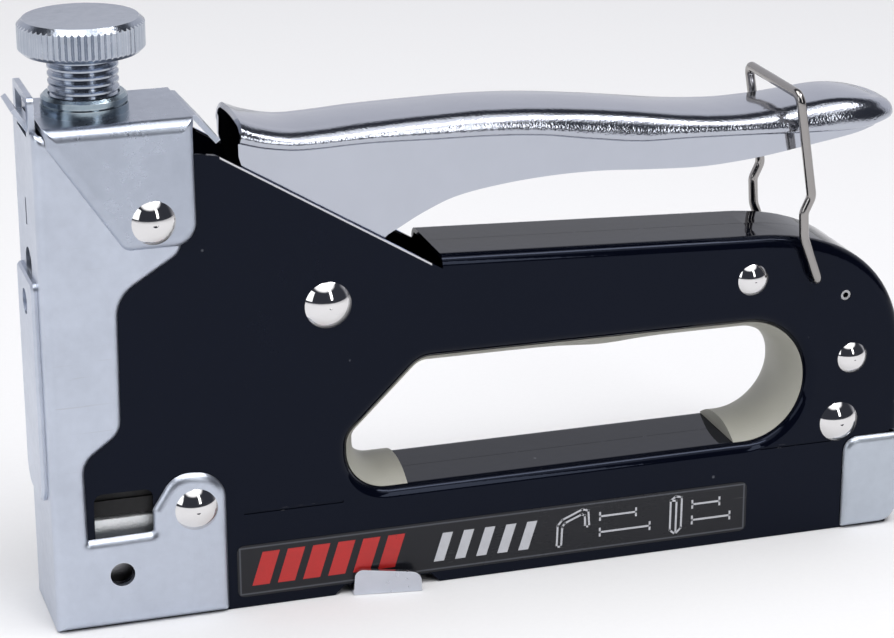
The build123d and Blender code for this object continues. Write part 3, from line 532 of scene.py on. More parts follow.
@dataclass(frozen=True)
class ScreenInk(Finish):
    """Opaque printing ink, slightly worn through."""

    film: Colour = (0.02, 0.021, 0.025)
    dim: float = 0.85
    relief: float = 0.05

    def dress(self, graph: Graph, shader: Node) -> None:
        """Ink colour with worn patches and a dry surface."""
        clouds = MOTTLE.place(graph, Scale=420.0, Contrast=2.4)
        full = graph.mix(clouds, shaded(self.colour, self.dim), self.colour)
        colour = graph.mix(graph.remap(clouds, 0.82, 0.97), full, self.film)
        rough = graph.remap(clouds, 0.2, 0.8, 0.32, 0.48)
        self.coat(graph, shader, colour, rough, clouds, self.relief, 0.0002)


@dataclass(frozen=True)
class Rubber(Finish):
    """Moulded black rubber with a bloom of dust."""

    bloom: float = 2.2
    relief: float = 0.3

    def dress(self, graph: Graph, shader: Node) -> None:
        """Dark body, dusty bloom and a coarse surface."""
        clouds = MOTTLE.place(graph, Scale=90.0, Contrast=1.8)
        colour = graph.mix(clouds, self.colour, shaded(self.colour, self.bloom))
        rough = graph.remap(clouds, 0.2, 0.8, 0.6, 0.85)
        self.coat(graph, shader, colour, rough, clouds, self.relief, 0.0004)


class Palette(Enum):
    """Every finish on the tool."""

    ENAMEL = StovedEnamel("black_enamel", (0.0022, 0.0030, 0.0078))
    NOSE_ZINC = ZincPlate("nose_zinc", (0.555, 0.60, 0.69), roughness=0.33)
    CAP_ZINC = ZincPlate("cap_zinc", (0.44, 0.48, 0.56), roughness=0.3, brush=(90.0, 1400.0, 1400.0))
    GUARD_ZINC = ZincPlate("guard_zinc", (0.515, 0.56, 0.626), roughness=0.32)
    KNOB_ZINC = ZincPlate("knob_zinc", (0.40, 0.44, 0.51), roughness=0.2, brush=(700.0, 700.0, 700.0),
                          wear=0.9)
    COLLAR_ZINC = ZincPlate("collar_zinc", (0.30, 0.37, 0.42), roughness=0.22, cloud=0.12,
                            brush=(700.0, 700.0, 700.0))
    # guide block's zinc is set near white as painted light, standing in for light that its shaded window
    # keeps off it
    BLOCK_ZINC_PAINTED_LIGHT = ZincPlate("block_zinc_painted_light", (0.9, 0.97, 0.99), roughness=0.4, cloud=0.25, wear=1.0,
                           bump=0.16)
    CATCH_ZINC = ZincPlate("catch_zinc", (0.62, 0.65, 0.72), roughness=0.24)
    LEVER_CHROME = BrightChrome("lever_chrome", (0.50, 0.525, 0.59), roughness=0.09, grained=True,
                                ripple=0.05)
    RIVET_CHROME = BrightChrome("rivet_chrome", (0.80, 0.79, 0.79), roughness=0.06)
    WIRE_NICKEL = BrightChrome("wire_nickel", (0.36, 0.345, 0.335), roughness=0.12)
    PLAIN_STEEL = ZincPlate("plain_steel", (0.42, 0.42, 0.43), roughness=0.34, cloud=0.25, wear=0.4)
    SPRING_STEEL = ZincPlate("spring_steel", (0.3, 0.3, 0.32), roughness=0.28, wear=0.5)
    STAPLE_WIRE = ZincPlate("staple_wire", (0.66, 0.67, 0.7), roughness=0.26, wear=0.5)
    LINING = MouldedPlastic("beige_lining", (0.40, 0.395, 0.345))
    BUMPER = Rubber("bumper_rubber", (0.004, 0.004, 0.0045))
    WHITE_INK = ScreenInk("white_ink", (0.62, 0.63, 0.67))
    RED_INK = ScreenInk("red_ink", (0.56, 0.022, 0.02))

    def apply(self, *nodes: str) -> None:
        """Gives this finish to CAD nodes by name."""
        for name in nodes:
            self.value.apply(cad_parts[name])


# ---------------------------------------------------------------- mesh helpers
def smooth_curve(stations: Sequence[Flat]) -> Callable[[float], float]:
    """Smooth line through stations sorted by their first number.

    Args:
        stations: Pairs of place and height.

    Returns:
        A function giving the height at any place, held beyond the two ends.
    """
    xs = [s[0] for s in stations]
    zs = [s[1] for s in stations]
    last = len(xs) - 1
    slopes = []
    for i in range(len(xs)):
        before, after = max(0, i - 1), min(last, i + 1)
        slopes.append((zs[after] - zs[before]) / (xs[after] - xs[before]))

    def height(x: float) -> float:
        """Height of the line at x."""
        held = min(max(x, xs[0]), xs[-1])
        i = max(k for k in range(last) if xs[k] <= held) if held > xs[0] else 0
        span = xs[i + 1] - xs[i]
        t = (held - xs[i]) / span
        rise = (2 * t ** 3 - 3 * t ** 2 + 1) * zs[i] + (3 * t ** 2 - 2 * t ** 3) * zs[i + 1]
        lean = (t ** 3 - 2 * t ** 2 + t) * slopes[i] + (t ** 3 - t ** 2) * slopes[i + 1]
        return rise + lean * span

    return height


def rounded_line(corners: Sequence[Point], spacing: float) -> list[tuple[Flat, Flat]]:
    """Points along an open line whose corners are rounded.

    Args:
        corners: x, z and radius of each corner; the first and last radius are not used.
        spacing: Largest distance between two points.

    Returns:
        Place and left-hand normal of each point.
    """
    found: list[tuple[Flat, Flat]] = []

    def straight(start: Vector, end: Vector) -> None:
        """Adds a straight stretch."""
        along = end - start
        if along.length < TINY:
            return
        unit = along.normalized()
        steps = max(1, round(along.length / spacing))
        for k in range(steps):
            spot = start + along * (k / steps)
            found.append(((spot.x, spot.y), (-unit.y, unit.x)))

    here = Vector(corners[0][:2])
    for k in range(1, len(corners) - 1):
        corner, radius = Vector(corners[k][:2]), corners[k][2]
        into = (corner - Vector(corners[k - 1][:2])).normalized()
        out = (Vector(corners[k + 1][:2]) - corner).normalized()
        turn = into.angle_signed(out)
        cut = radius * math.tan(abs(turn) / 2)
        begin = corner - into * cut
        straight(here, begin)
        side = 1.0 if turn < 0 else -1.0
        normal = Vector((-into.y, into.x))
        centre = begin + normal * radius * side
        steps = max(3, round(radius * abs(turn) / spacing))
        for s in range(steps):
            spun = Matrix.Rotation(-turn * s / steps, 2)
            spoke = spun @ (begin - centre)
            facing = spun @ normal
            spot = centre + spoke
            found.append(((spot.x, spot.y), (facing.x, facing.y)))
        here = corner + out * cut
    end = Vector(corners[-1][:2])
    straight(here, end)
    found.append(((end.x, end.y), found[-1][1]))
    return found


def mesh_piece(name: str, points: Sequence[Vector], faces: Iterable[Sequence[int]],
               grain: Sequence[float] | None = None, flat: bool = False) -> Thing:
    """Object made from points and faces, its faces turned outwards.

    Args:
        name: The piece's name.
        points: Its corners, in the row frame.
        faces: Corner numbers of each face.
        grain: How strongly each corner of an open sheet is grained; the sheet's highest face looks up.
        flat: Keeps doubled corners and flat shading.

    Returns:
        The new object, linked to the scene.
    """
    mesh = bpy.data.meshes.new(name)
    mesh.from_pydata([tuple(p) for p in points], [], [tuple(f) for f in faces])
    if grain is not None:
        mesh.attributes.new("grain", "FLOAT", "POINT").data.foreach_set("value", grain)
    work = bmesh.new()
    work.from_mesh(mesh)
    if not flat:
        bmesh.ops.remove_doubles(work, verts=work.verts, dist=MERGE)
        bmesh.ops.dissolve_degenerate(work, edges=work.edges, dist=TINY)
    bmesh.ops.recalc_face_normals(work, faces=work.faces)
    if grain is not None:
        work.normal_update()
        highest = max(work.faces, key=lambda f: f.calc_center_median().z)
        if highest.normal.z < 0:
            bmesh.ops.reverse_faces(work, faces=work.faces)
    work.to_mesh(mesh)
    work.free()
    if not flat:
        mesh.shade_smooth()
    piece = bpy.data.objects.new(name, mesh)
    bpy.context.scene.collection.objects.link(piece)
    return piece


def sleeve(rings: int, ring: int) -> list[Sequence[int]]:
    """Faces that join rings of points one after another.

    Args:
        rings: How many rings.
        ring: Points in each.

    Returns:
        The faces' corner numbers.
    """
    faces: list[Sequence[int]] = []
    for k in range(rings - 1):
        for c in range(ring):
            d = (c + 1) % ring
            faces.append((k * ring + c, k * ring + d, (k + 1) * ring + d, (k + 1) * ring + c))
    return faces


def applied(piece: Thing) -> Thing:
    """Turns the piece's modifiers into its own mesh."""
    graph = bpy.context.evaluated_depsgraph_get()
    final = bpy.data.meshes.new_from_object(piece.evaluated_get(graph))
    piece.modifiers.clear()
    old = piece.data
    piece.data = final
    bpy.data.meshes.remove(old)
    return piece


def sharpen(piece: Thing, degrees: float) -> None:
    """Marks edges that fold by more than an angle as sharp."""
    piece.data.set_sharp_from_angle(angle=math.radians(degrees))


def tube(name: str, line: Sequence[Vector], radius: float, sides: int) -> Thing:
    """Round wire along a line of points, closed at both ends.

    Args:
        name: The piece's name.
        line: Its centre line.
        radius: Half its thickness, metres.
        sides: Corners of its section.

    Returns:
        The new object.
    """
    points: list[Vector] = []
    side = Vector((0.0, 0.0, 1.0))
    for k, spot in enumerate(line):
        ahead = line[min(k + 1, len(line) - 1)] - line[max(k - 1, 0)]
        unit = ahead.normalized()
        side = (side - unit * side.dot(unit)).normalized()
        other = unit.cross(side)
        for s in range(sides):
            angle = 2 * math.pi * s / sides
            points.append(spot + (side * math.cos(angle) + other * math.sin(angle)) * radius)
    faces = sleeve(len(line), sides)
    last = (len(line) - 1) * sides
    faces.append(tuple(range(sides)))
    faces.append(tuple(range(last + sides - 1, last - 1, -1)))
    return mesh_piece(name, points, faces)


# ---------------------------------------------------------------- sub-assemblies
@dataclass
class Housing:
    """Shells, nose, cap, rivets and the fixed inner pieces, which keep their CAD shapes."""

    finishes: dict[Palette, tuple[str, ...]] = field(default_factory=lambda: {
        Palette.ENAMEL: ("left_shell", "right_shell"),
        Palette.NOSE_ZINC: ("nose_plate", "front_cover"),
        Palette.CAP_ZINC: ("top_cap",),
        Palette.COLLAR_ZINC: ("adjuster_collar",),
        Palette.BLOCK_ZINC_PAINTED_LIGHT: ("guide_block",),
        Palette.RIVET_CHROME: ("pivot_rivet", "large_rivets", "small_rivets"),
        Palette.PLAIN_STEEL: ("lever_bush", "spacer_tubes", "retaining_pin", "magazine_channel"),
        Palette.BUMPER: ("rubber_bumper",),
    })

    def build(self) -> list[Thing]:
        """Dresses the fixed nodes; makes no new piece."""
        for finish, nodes in self.finishes.items():
            finish.apply(*nodes)
        return []


@dataclass
class GripLining:
    """Plastic lining round the two ends and the ceiling of the hand loop, crowned across its width."""

    half: float = 9.3
    crown: float = 2.85
    seat: float = 0.06
    columns: int = 28
    spacing: float = 0.9
    bump_x: float = 117.0
    bump_rise: float = 0.9
    bump_reach: float = 8.0
    ceiling: float = 40.0           # the bump is on the part above this
    fullness: float = 2.3
    skin: float = 0.12
    fold: float = 40.0
    corners: tuple[Point, ...] = (
        (145.5, 22.0, 0.0), (161.0, 22.0, 13.35), (161.0, 48.9, 13.35), (76.3, 49.4, 6.0),
        (60.6, 34.2, 5.0), (60.6, 22.0, 8.5), (73.5, 22.0, 0.0))

    def rise(self, x: float, z: float, across: float) -> float:
        """Height of the lining over its seat.

        Args:
            x: Place along the tool.
            z: Height of the seat.
            across: Place across, -1 to 1.

        Returns:
            The height in millimetres.
        """
        full = self.crown
        if z > self.ceiling:
            full += self.bump_rise * math.exp(-(((x - self.bump_x) / self.bump_reach) ** 2))
        rounded = 1.0 - abs(across) ** self.fullness
        return self.seat + self.skin + full * rounded

    def build(self) -> list[Thing]:
        """Sweeps the crowned section round the loop and closes its ends."""
        line = rounded_line(self.corners, self.spacing)
        points: list[Vector] = []
        ring = 2 * (self.columns + 1)
        for (x, z), (nx, nz) in line:
            for c in range(self.columns + 1):
                across = math.sin(math.pi * (c / self.columns - 0.5))
                lift = self.rise(x, z, across)
                points.append(row(x + nx * lift, across * self.half, z + nz * lift))
            for c in range(self.columns, -1, -1):
                across = math.sin(math.pi * (c / self.columns - 0.5))
                points.append(row(x + nx * self.seat, across * self.half, z + nz * self.seat))
        faces = sleeve(len(line), ring)
        last = (len(line) - 1) * ring
        for start in (0, last):
            for c in range(self.columns):
                faces.append((start + c, start + c + 1, start + ring - 2 - c, start + ring - 1 - c))
        piece = mesh_piece("grip_lining", points, faces)
        sharpen(piece, self.fold)
        Palette.LINING.value.apply(piece)
        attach(piece, "housing")
        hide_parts("grip_insert")
        return [piece]


@dataclass
class SqueezeLever:
    """Pressed lever: a rounded top whose shoulders neck in to a web that reaches down to the pivot."""

    half: float = 10.6
    web_half: float = 9.2
    wall: float = 1.1
    shoulder: float = 4.7
    crown: float = 0.28
    tail_x: float = 181.8
    tail_radius: float = 8.0
    front_x: float = 41.0
    pivot: Point = (57.0, 63.0, 5.05)
    arm_pin: Point = (52.0, 75.0, 2.52)
    spacing: float = 1.0
    tail_taper: float = 6.0         # how far before the tail's round centre it starts to narrow
    tail_power: float = 2.6
    tail_count: int = 26
    tail_lift: float = 0.3
    tail_ease: float = 0.5
    tail_tuck: float = 2.6
    neck_end: float = 177.0
    neck_round: float = 1.1
    least_side: float = 1.4
    web_sink: float = 0.15
    foot_gap: float = 0.35
    crown_steps: int = 8
    shoulder_steps: int = 7
    side_steps: int = 4
    neck_steps: int = 5
    web_steps: int = 12
    grain_steps: float = 2.0
    mouth_z: float = 94.0           # where the open front reaches furthest forward
    mouth_top: float = 101.5
    mouth_over: float = 7.5
    mouth_under: float = 10.0
    mouth_reach: float = 8.0
    mouth_lean: float = 1.5
    drill_reach: float = 14.0
    drill_sides: int = 48
    fold: float = 38.0
    top: tuple[Flat, ...] = (
        (41.0, 101.3), (45.0, 99.7), (51.0, 98.3), (58.0, 98.3), (67.0, 98.8), (81.0, 99.1), (92.0, 99.1),
        (103.0, 98.5), (115.0, 97.2), (124.0, 96.0), (134.0, 94.6), (145.0, 93.75), (154.0, 94.0),
        (161.0, 94.6), (168.0, 95.1), (174.0, 94.6), (178.0, 93.4), (181.8, 91.4))
    neck: tuple[Flat, ...] = (
        (41.0, 97.1), (46.0, 95.6), (52.0, 94.7), (66.0, 94.9), (80.0, 94.5), (91.0, 94.2), (102.0, 93.4),
        (112.0, 91.8), (123.0, 90.3), (134.0, 90.0), (147.0, 89.5), (160.0, 88.9), (172.0, 88.8),
        (181.8, 89.6))
    under: tuple[Flat, ...] = (
        (66.0, 71.0), (69.3, 75.3), (72.0, 76.9), (77.2, 79.7), (84.0, 82.4), (94.1, 84.1), (105.0, 84.9),
        (115.0, 84.9), (126.0, 84.2), (137.0, 83.8), (148.0, 84.5), (159.0, 86.0), (170.0, 87.7),
        (175.0, 88.4))
    lobe: tuple[Flat, ...] = (
        (46.5, 68.0), (46.6, 62.0), (49.2, 56.7), (53.0, 54.5), (57.0, 54.2), (61.4, 55.8), (64.8, 60.0),
        (66.0, 67.0), (66.0, 71.0))

    def plan(self) -> list[tuple[Vector, Vector]]:
        """Points and outward normals of the near half of the outline seen from above, front to tail tip."""
        found = []
        centre = Vector((self.tail_x - self.tail_radius, 0.0))
        straight_end = centre.x - self.tail_taper
        steps = round((straight_end - self.front_x) / self.spacing)
        for k in range(steps):
            x = self.front_x + (straight_end - self.front_x) * k / steps
            found.append((Vector((x, -self.half)), Vector((0.0, -1.0))))
        power = self.tail_power
        reach = Vector((self.tail_x - straight_end, self.half))
        count = self.tail_count
        for k in range(count + 1):
            angle = math.pi / 2 * k / count
            ahead, aside = math.sin(angle), max(0.0, math.cos(angle))
            spot = Vector((straight_end + reach.x * ahead ** (2 / power), -reach.y * aside ** (2 / power)))
            slope = Vector((ahead ** (2 - 2 / power) / reach.x, -aside ** (2 - 2 / power) / reach.y))
            found.append((spot, slope.normalized()))
        return found

    def foot(self, x: float, neck_z: float) -> Flat:
        """Bottom end of the web's column that starts at a place on the neck."""
        lobe_end = self.lobe[-1][0]
        if x >= lobe_end:
            return x, min(smooth_curve(self.under)(x), neck_z - self.foot_gap)
        share = (x - self.front_x) / (lobe_end - self.front_x) * (len(self.lobe) - 1)
        k = min(int(share), len(self.lobe) - 2)
        t = share - k
        start, end = self.lobe[k], self.lobe[k + 1]
        return start[0] + (end[0] - start[0]) * t, start[1] + (end[1] - start[1]) * t

    def column(self, spot: Vector, out: Vector) -> tuple[list[Vector], list[float]]:
        """One strip of the skin, from the middle of the top down to the web's lower edge.

        Args:
            spot: Place on the outline.
            out: Outward normal there.

        Returns:
            The strip's points in millimetres and how strongly each is grained.
        """
        top, neck = smooth_curve(self.top), smooth_curve(self.neck)
        tail = max(0.0, out.x)
        points: list[Vector] = []
        grain: list[float] = []
        inner = spot - out * self.shoulder
        for c in range(self.crown_steps):
            share = c / self.crown_steps
            across = inner.y * share
            rise = self.crown * (1.0 - (across / (self.half - self.shoulder)) ** 2)
            points.append(Vector((inner.x, across, top(inner.x) + rise)))
            grain.append(0.0)
        edge_z = top(inner.x)
        neck_x = min(spot.x, self.neck_end)
        neck_z = neck(neck_x) + self.tail_lift * tail
        drop = min(self.shoulder - self.tail_ease * tail, edge_z - neck_z - self.least_side)
        for c in range(self.shoulder_steps + 1):
            angle = math.pi / 2 * c / self.shoulder_steps
            along = spot - out * self.shoulder * (1 - math.sin(angle))
            points.append(Vector((along.x, along.y, edge_z - drop * (1 - math.cos(angle)))))
            grain.append(min(1.0, c / self.grain_steps))
        high = edge_z - drop
        for c in range(1, self.side_steps):
            level = high + (neck_z + self.neck_round - high) * c / self.side_steps
            points.append(Vector((spot.x, spot.y, level)))
            grain.append(1.0)
        depth = (self.half - self.web_half) + self.tail_tuck * tail
        for c in range(self.neck_steps + 1):
            angle = math.pi / 2 * c / self.neck_steps
            along = spot - out * depth * (1 - math.cos(angle))
            points.append(Vector((along.x, along.y, neck_z + self.neck_round * (1 - math.sin(angle)))))
            grain.append(1.0 - c / self.neck_steps)
        wall = spot - out * depth
        start_z = neck_z - self.web_sink
        foot_x, foot_z = self.foot(spot.x, neck_z)
        if tail > 0.02:
            foot_x = wall.x
        for c in range(1, self.web_steps + 1):
            share = c / self.web_steps
            place = (wall.x + (foot_x - wall.x) * share, wall.y, start_z + (foot_z - start_z) * share)
            points.append(Vector(place))
            grain.append(0.0)
        return points, grain

    def front_lean(self, point: Vector) -> Vector:
        """Moves the open front forward, most at the mouth's middle height, as the cut edge runs."""
        if point.z > self.mouth_z:
            share = min(1.0, (self.mouth_top - point.z) / self.mouth_over)
        else:
            share = 1.0 - min(1.0, (self.mouth_z - point.z) / self.mouth_under)
        reach = max(0.0, 1.0 - (point.x - self.front_x) / self.mouth_reach)
        return Vector((point.x - self.mouth_lean * share * reach, point.y, point.z))

    def build(self) -> list[Thing]:
        """Makes the skin, thickens it inwards and pierces it for the pivot bush and the arm's pin."""
        columns = [self.column(spot, out) for spot, out in self.plan()]
        rows = len(columns[0][0])
        points: list[Vector] = []
        grain: list[float] = []
        for side in (1.0, -1.0):
            for line, marks in columns:
                for point, mark in zip(line, marks):
                    leant = self.front_lean(point)
                    points.append(row(leant.x, leant.y * side, leant.z))
                    grain.append(mark)
        faces: list[Sequence[int]] = []
        for side in range(2):
            base = side * len(columns) * rows
            for i in range(len(columns) - 1):
                for j in range(rows - 1):
                    a, b = base + i * rows + j, base + (i + 1) * rows + j
                    faces.append((a, b, b + 1, a + 1))
        piece = mesh_piece("lever_skin", points, faces, grain=grain)
        thick = piece.modifiers.new("wall", "SOLIDIFY")
        thick.thickness = self.wall * MILLIMETRE
        thick.offset = -1.0
        thick.use_even_offset = False
        cutters = []
        for x, z, radius in (self.pivot, self.arm_pin):
            line = [row(x, -self.drill_reach, z), row(x, self.drill_reach, z)]
            cutter = tube(f"drill_{x:.0f}", line, radius * MILLIMETRE, self.drill_sides)
            cutters.append(cutter)
            hole = piece.modifiers.new(cutter.name, "BOOLEAN")
            hole.operation = "DIFFERENCE"
            hole.solver = "EXACT"
            hole.object = cutter
        applied(piece)
        for cutter in cutters:
            bpy.data.objects.remove(cutter)
        sharpen(piece, self.fold)
        Palette.LEVER_CHROME.value.apply(piece)
        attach(piece, "lever")
        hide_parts("lever")
        Palette.PLAIN_STEEL.apply("lifter_arm", "lever_pin")
        return [piece]


@dataclass
class LockBail:
    """Wire loop that holds the lever down."""

    def build(self) -> list[Thing]:
        """Dresses the wire; makes no new piece."""
        Palette.WIRE_NICKEL.apply("wire_bail")
        return []


@dataclass
class Spring:
    """Helical spring with closed, flat ends."""

    name: str
    start: Vector
    end: Vector
    radius: float
    wire: float
    turns: float
    dead_turns: float = 1.0
    per_turn: int = 26
    ease: float = 1.02              # play left where turns lie together, as a factor
    sides: int = 10

    def centre_line(self) -> list[Vector]:
        """Points along the wire."""
        axis = self.end - self.start
        unit = axis.normalized()
        side = unit.orthogonal().normalized()
        other = unit.cross(side)
        total = self.turns + 2 * self.dead_turns
        lift = 2 * self.wire * self.ease
        live = axis.length - lift * 2 * self.dead_turns - 2 * self.wire
        count = round(total * self.per_turn)
        found = []
        for k in range(count + 1):
            turn = total * k / count
            dead = min(turn, self.dead_turns) + max(0.0, turn - self.dead_turns - self.turns)
            alive = min(max(turn - self.dead_turns, 0.0), self.turns)
            along = self.wire + dead * lift + alive / self.turns * live
            angle = 2 * math.pi * turn
            spoke = side * math.cos(angle) + other * math.sin(angle)
            found.append(self.start + unit * along + spoke * self.radius)
        return found

    def build(self) -> Thing:
        """The spring's wire as one closed tube."""
        return tube(self.name, self.centre_line(), self.wire, self.sides)


@dataclass
class DriveTrain:
    """Adjuster knob, drive spring, plunger and blade."""

    coil_mean: float = 6.1
    coil_wire: float = 1.0
    coil_turns: float = 5.5
    lift: float = 8.73

    def build(self) -> list[Thing]:
        """Dresses the nodes and puts in a drive spring where the CAD spring was."""
        Palette.KNOB_ZINC.apply("tension_knob")
        Palette.PLAIN_STEEL.apply("spring_seat", "plunger", "driver_blade")
        low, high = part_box("drive_spring")
        middle = (low + high) / 2
        bottom = Vector((middle.x, middle.y, low.z))
        top = Vector((middle.x, middle.y, high.z))
        spring = Spring("drive_coil", bottom, top, self.coil_mean * MILLIMETRE,
                        self.coil_wire * MILLIMETRE, self.coil_turns)
        piece = spring.build()
        Palette.SPRING_STEEL.value.apply(piece)
        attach(piece, "housing")
        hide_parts("drive_spring")
        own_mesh(piece)
        return [piece]


@dataclass
class Magazine:
    """Slide-out rail, end guard, staples, pusher, its spring and the catch."""

    spring_wire: float = 0.3
    spring_mean: float = 2.45
    spring_turns: float = 34.0
    spring_points: int = 18
    push_travel: float = 85.0

    def build(self) -> list[Thing]:
        """Dresses the nodes and puts in a pusher spring where the CAD spring was."""
        Palette.GUARD_ZINC.apply("end_guard")
        Palette.CATCH_ZINC.apply("magazine_catch")
        Palette.PLAIN_STEEL.apply("staple_rail", "guide_rod", "pusher")
        Palette.STAPLE_WIRE.apply("staple_strip")
        low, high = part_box("pusher_spring")
        middle = (low + high) / 2
        front = Vector((low.x, middle.y, middle.z))
        rear = Vector((high.x, middle.y, middle.z))
        spring = Spring("pusher_coil", front, rear, self.spring_mean * MILLIMETRE,
                        self.spring_wire * MILLIMETRE, self.spring_turns, per_turn=self.spring_points)
        piece = spring.build()
        Palette.SPRING_STEEL.value.apply(piece)
        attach(piece, "rail")
        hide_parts("pusher_spring")
        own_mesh(piece)
        return [piece]


@dataclass
class Label:
    """Printed film on each side, with plain stripes and two pictograms."""

    ink_proud: float = 0.03
    sink: float = 0.02
    stroke: float = 0.42
    film_inset: float = 0.0006
    bar_low: float = 4.6
    bar_lean: float = 0.32
    tick: float = 0.8
    rule_columns: tuple[Flat, ...] = ((115.0, 11.2), (135.8, 8.6))
    rule_rows: tuple[Flat, ...] = ((9.9, 0.72), (6.3, 1.0))
    staple_outer: tuple[Flat, ...] = (
        (105.4, 4.2), (105.6, 9.0), (106.6, 10.2), (111.0, 12.0), (112.4, 11.6), (112.6, 8.0))
    staple_inner: tuple[Flat, ...] = (
        (106.4, 4.2), (106.6, 8.6), (107.2, 9.4), (110.9, 10.9), (111.6, 10.6), (111.7, 8.0))
    nail_body: tuple[Flat, ...] = (
        (130.8, 4.6), (130.9, 11.4), (132.0, 12.2), (133.4, 11.9), (133.3, 4.9), (132.0, 3.6), (130.8, 4.6))
    nail_ridge: tuple[Flat, ...] = ((132.1, 4.2), (132.2, 11.2), (130.9, 11.4))

    def panel(self, outline: Sequence[Flat], side: float) -> tuple[list[Vector], list[Sequence[int]]]:
        """Thin slab of ink with a given outline, on one side of the tool.

        Args:
            outline: Its corners in x and z, millimetres.
            side: -1 for the near side, 1 for the far side.

        Returns:
            Points and faces.
        """
        low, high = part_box("info_label")
        skin = (high.y if side > 0 else -low.y) / MILLIMETRE
        count = len(outline)
        points = []
        for depth in (skin - self.sink, skin + self.ink_proud):
            for x, z in outline:
                points.append(row(x, side * depth, z))
        faces: list[Sequence[int]] = [tuple(range(count)), tuple(range(2 * count - 1, count - 1, -1))]
        for k in range(count):
            following = (k + 1) % count
            faces.append((k, following, count + following, count + k))
        return points, faces

    def stroke_panels(self, line: Sequence[Flat]) -> list[list[Flat]]:
        """Outlines of a drawn line, one four-cornered stroke for each stretch."""
        half = self.stroke / 2
        found = []
        for start, end in zip(line, line[1:]):
            along = Vector((end[0] - start[0], end[1] - start[1])).normalized()
            across = Vector((-along.y, along.x)) * half
            a = Vector(start) - along * half
            b = Vector(end) + along * half
            found.append([tuple(a - across), tuple(b - across), tuple(b + across), tuple(a + across)])
        return found

    def staple_sign(self) -> list[list[Flat]]:
        """Strokes of the staple pictogram."""
        outer, inner = self.staple_outer, self.staple_inner
        strokes = self.stroke_panels(outer) + self.stroke_panels(inner)
        for pair in ((outer[0], inner[0]), (outer[-1], inner[-1])):
            strokes += self.stroke_panels(pair)
        return strokes

    def nail_sign(self) -> list[list[Flat]]:
        """Strokes of the nail pictogram."""
        return self.stroke_panels(self.nail_body) + self.stroke_panels(self.nail_ridge)

    def stripes(self, start: float, count: int, pitch: float, width: float, high: float) -> list[list[Flat]]:
        """Row of slanted bars.

        Args:
            start: Place of the first bar's lower left corner.
            count: How many bars.
            pitch: From one bar to the next.
            width: Width of a bar.
            high: Its height.

        Returns:
            The bars' outlines.
        """
        low = self.bar_low
        lean = self.bar_lean * high
        found = []
        for k in range(count):
            x = start + pitch * k
            found.append([(x, low), (x + width, low), (x + width + lean, low + high), (x + lean, low + high)])
        return found

    def rules(self) -> list[list[Flat]]:
        """Short ruled lines beside the pictograms."""
        found = []
        for x, length in self.rule_columns:
            for z, share in self.rule_rows:
                end = x + length * share
                found += self.stroke_panels(((x, z), (end, z)))
                for place in (x, end):
                    found += self.stroke_panels(((place, z - self.tick), (place, z + self.tick)))
        return found

    def ink(self, name: str, outlines: Sequence[Sequence[Flat]], finish: Palette) -> Thing:
        """One printed colour on both sides of the tool."""
        points: list[Vector] = []
        faces: list[Sequence[int]] = []
        for side in (-1.0, 1.0):
            for outline in outlines:
                more, around = self.panel(outline, side)
                base = len(points)
                points += more
                faces += [tuple(base + k for k in face) for face in around]
        piece = mesh_piece(name, points, faces, flat=True)
        finish.value.apply(piece)
        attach(piece, "housing")
        return piece

    def build(self) -> list[Thing]:
        """Prints the film and its two inks."""
        low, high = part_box("info_label")
        inset = self.film_inset
        film = PrintedFilm("label_film", (0.0135, 0.0145, 0.019), low=(low.x + inset, low.z + inset),
                           high=(high.x - inset, high.z - inset))
        film.apply(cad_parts["info_label"])
        signs = self.staple_sign() + self.nail_sign() + self.rules()
        pale = self.ink("label_pale_print", signs + self.stripes(78.5, 5, 4.6, 2.2, 6.2), Palette.WHITE_INK)
        red = self.ink("label_red_print", self.stripes(40.0, 6, 5.3, 3.6, 7.2), Palette.RED_INK)
        return [pale, red]


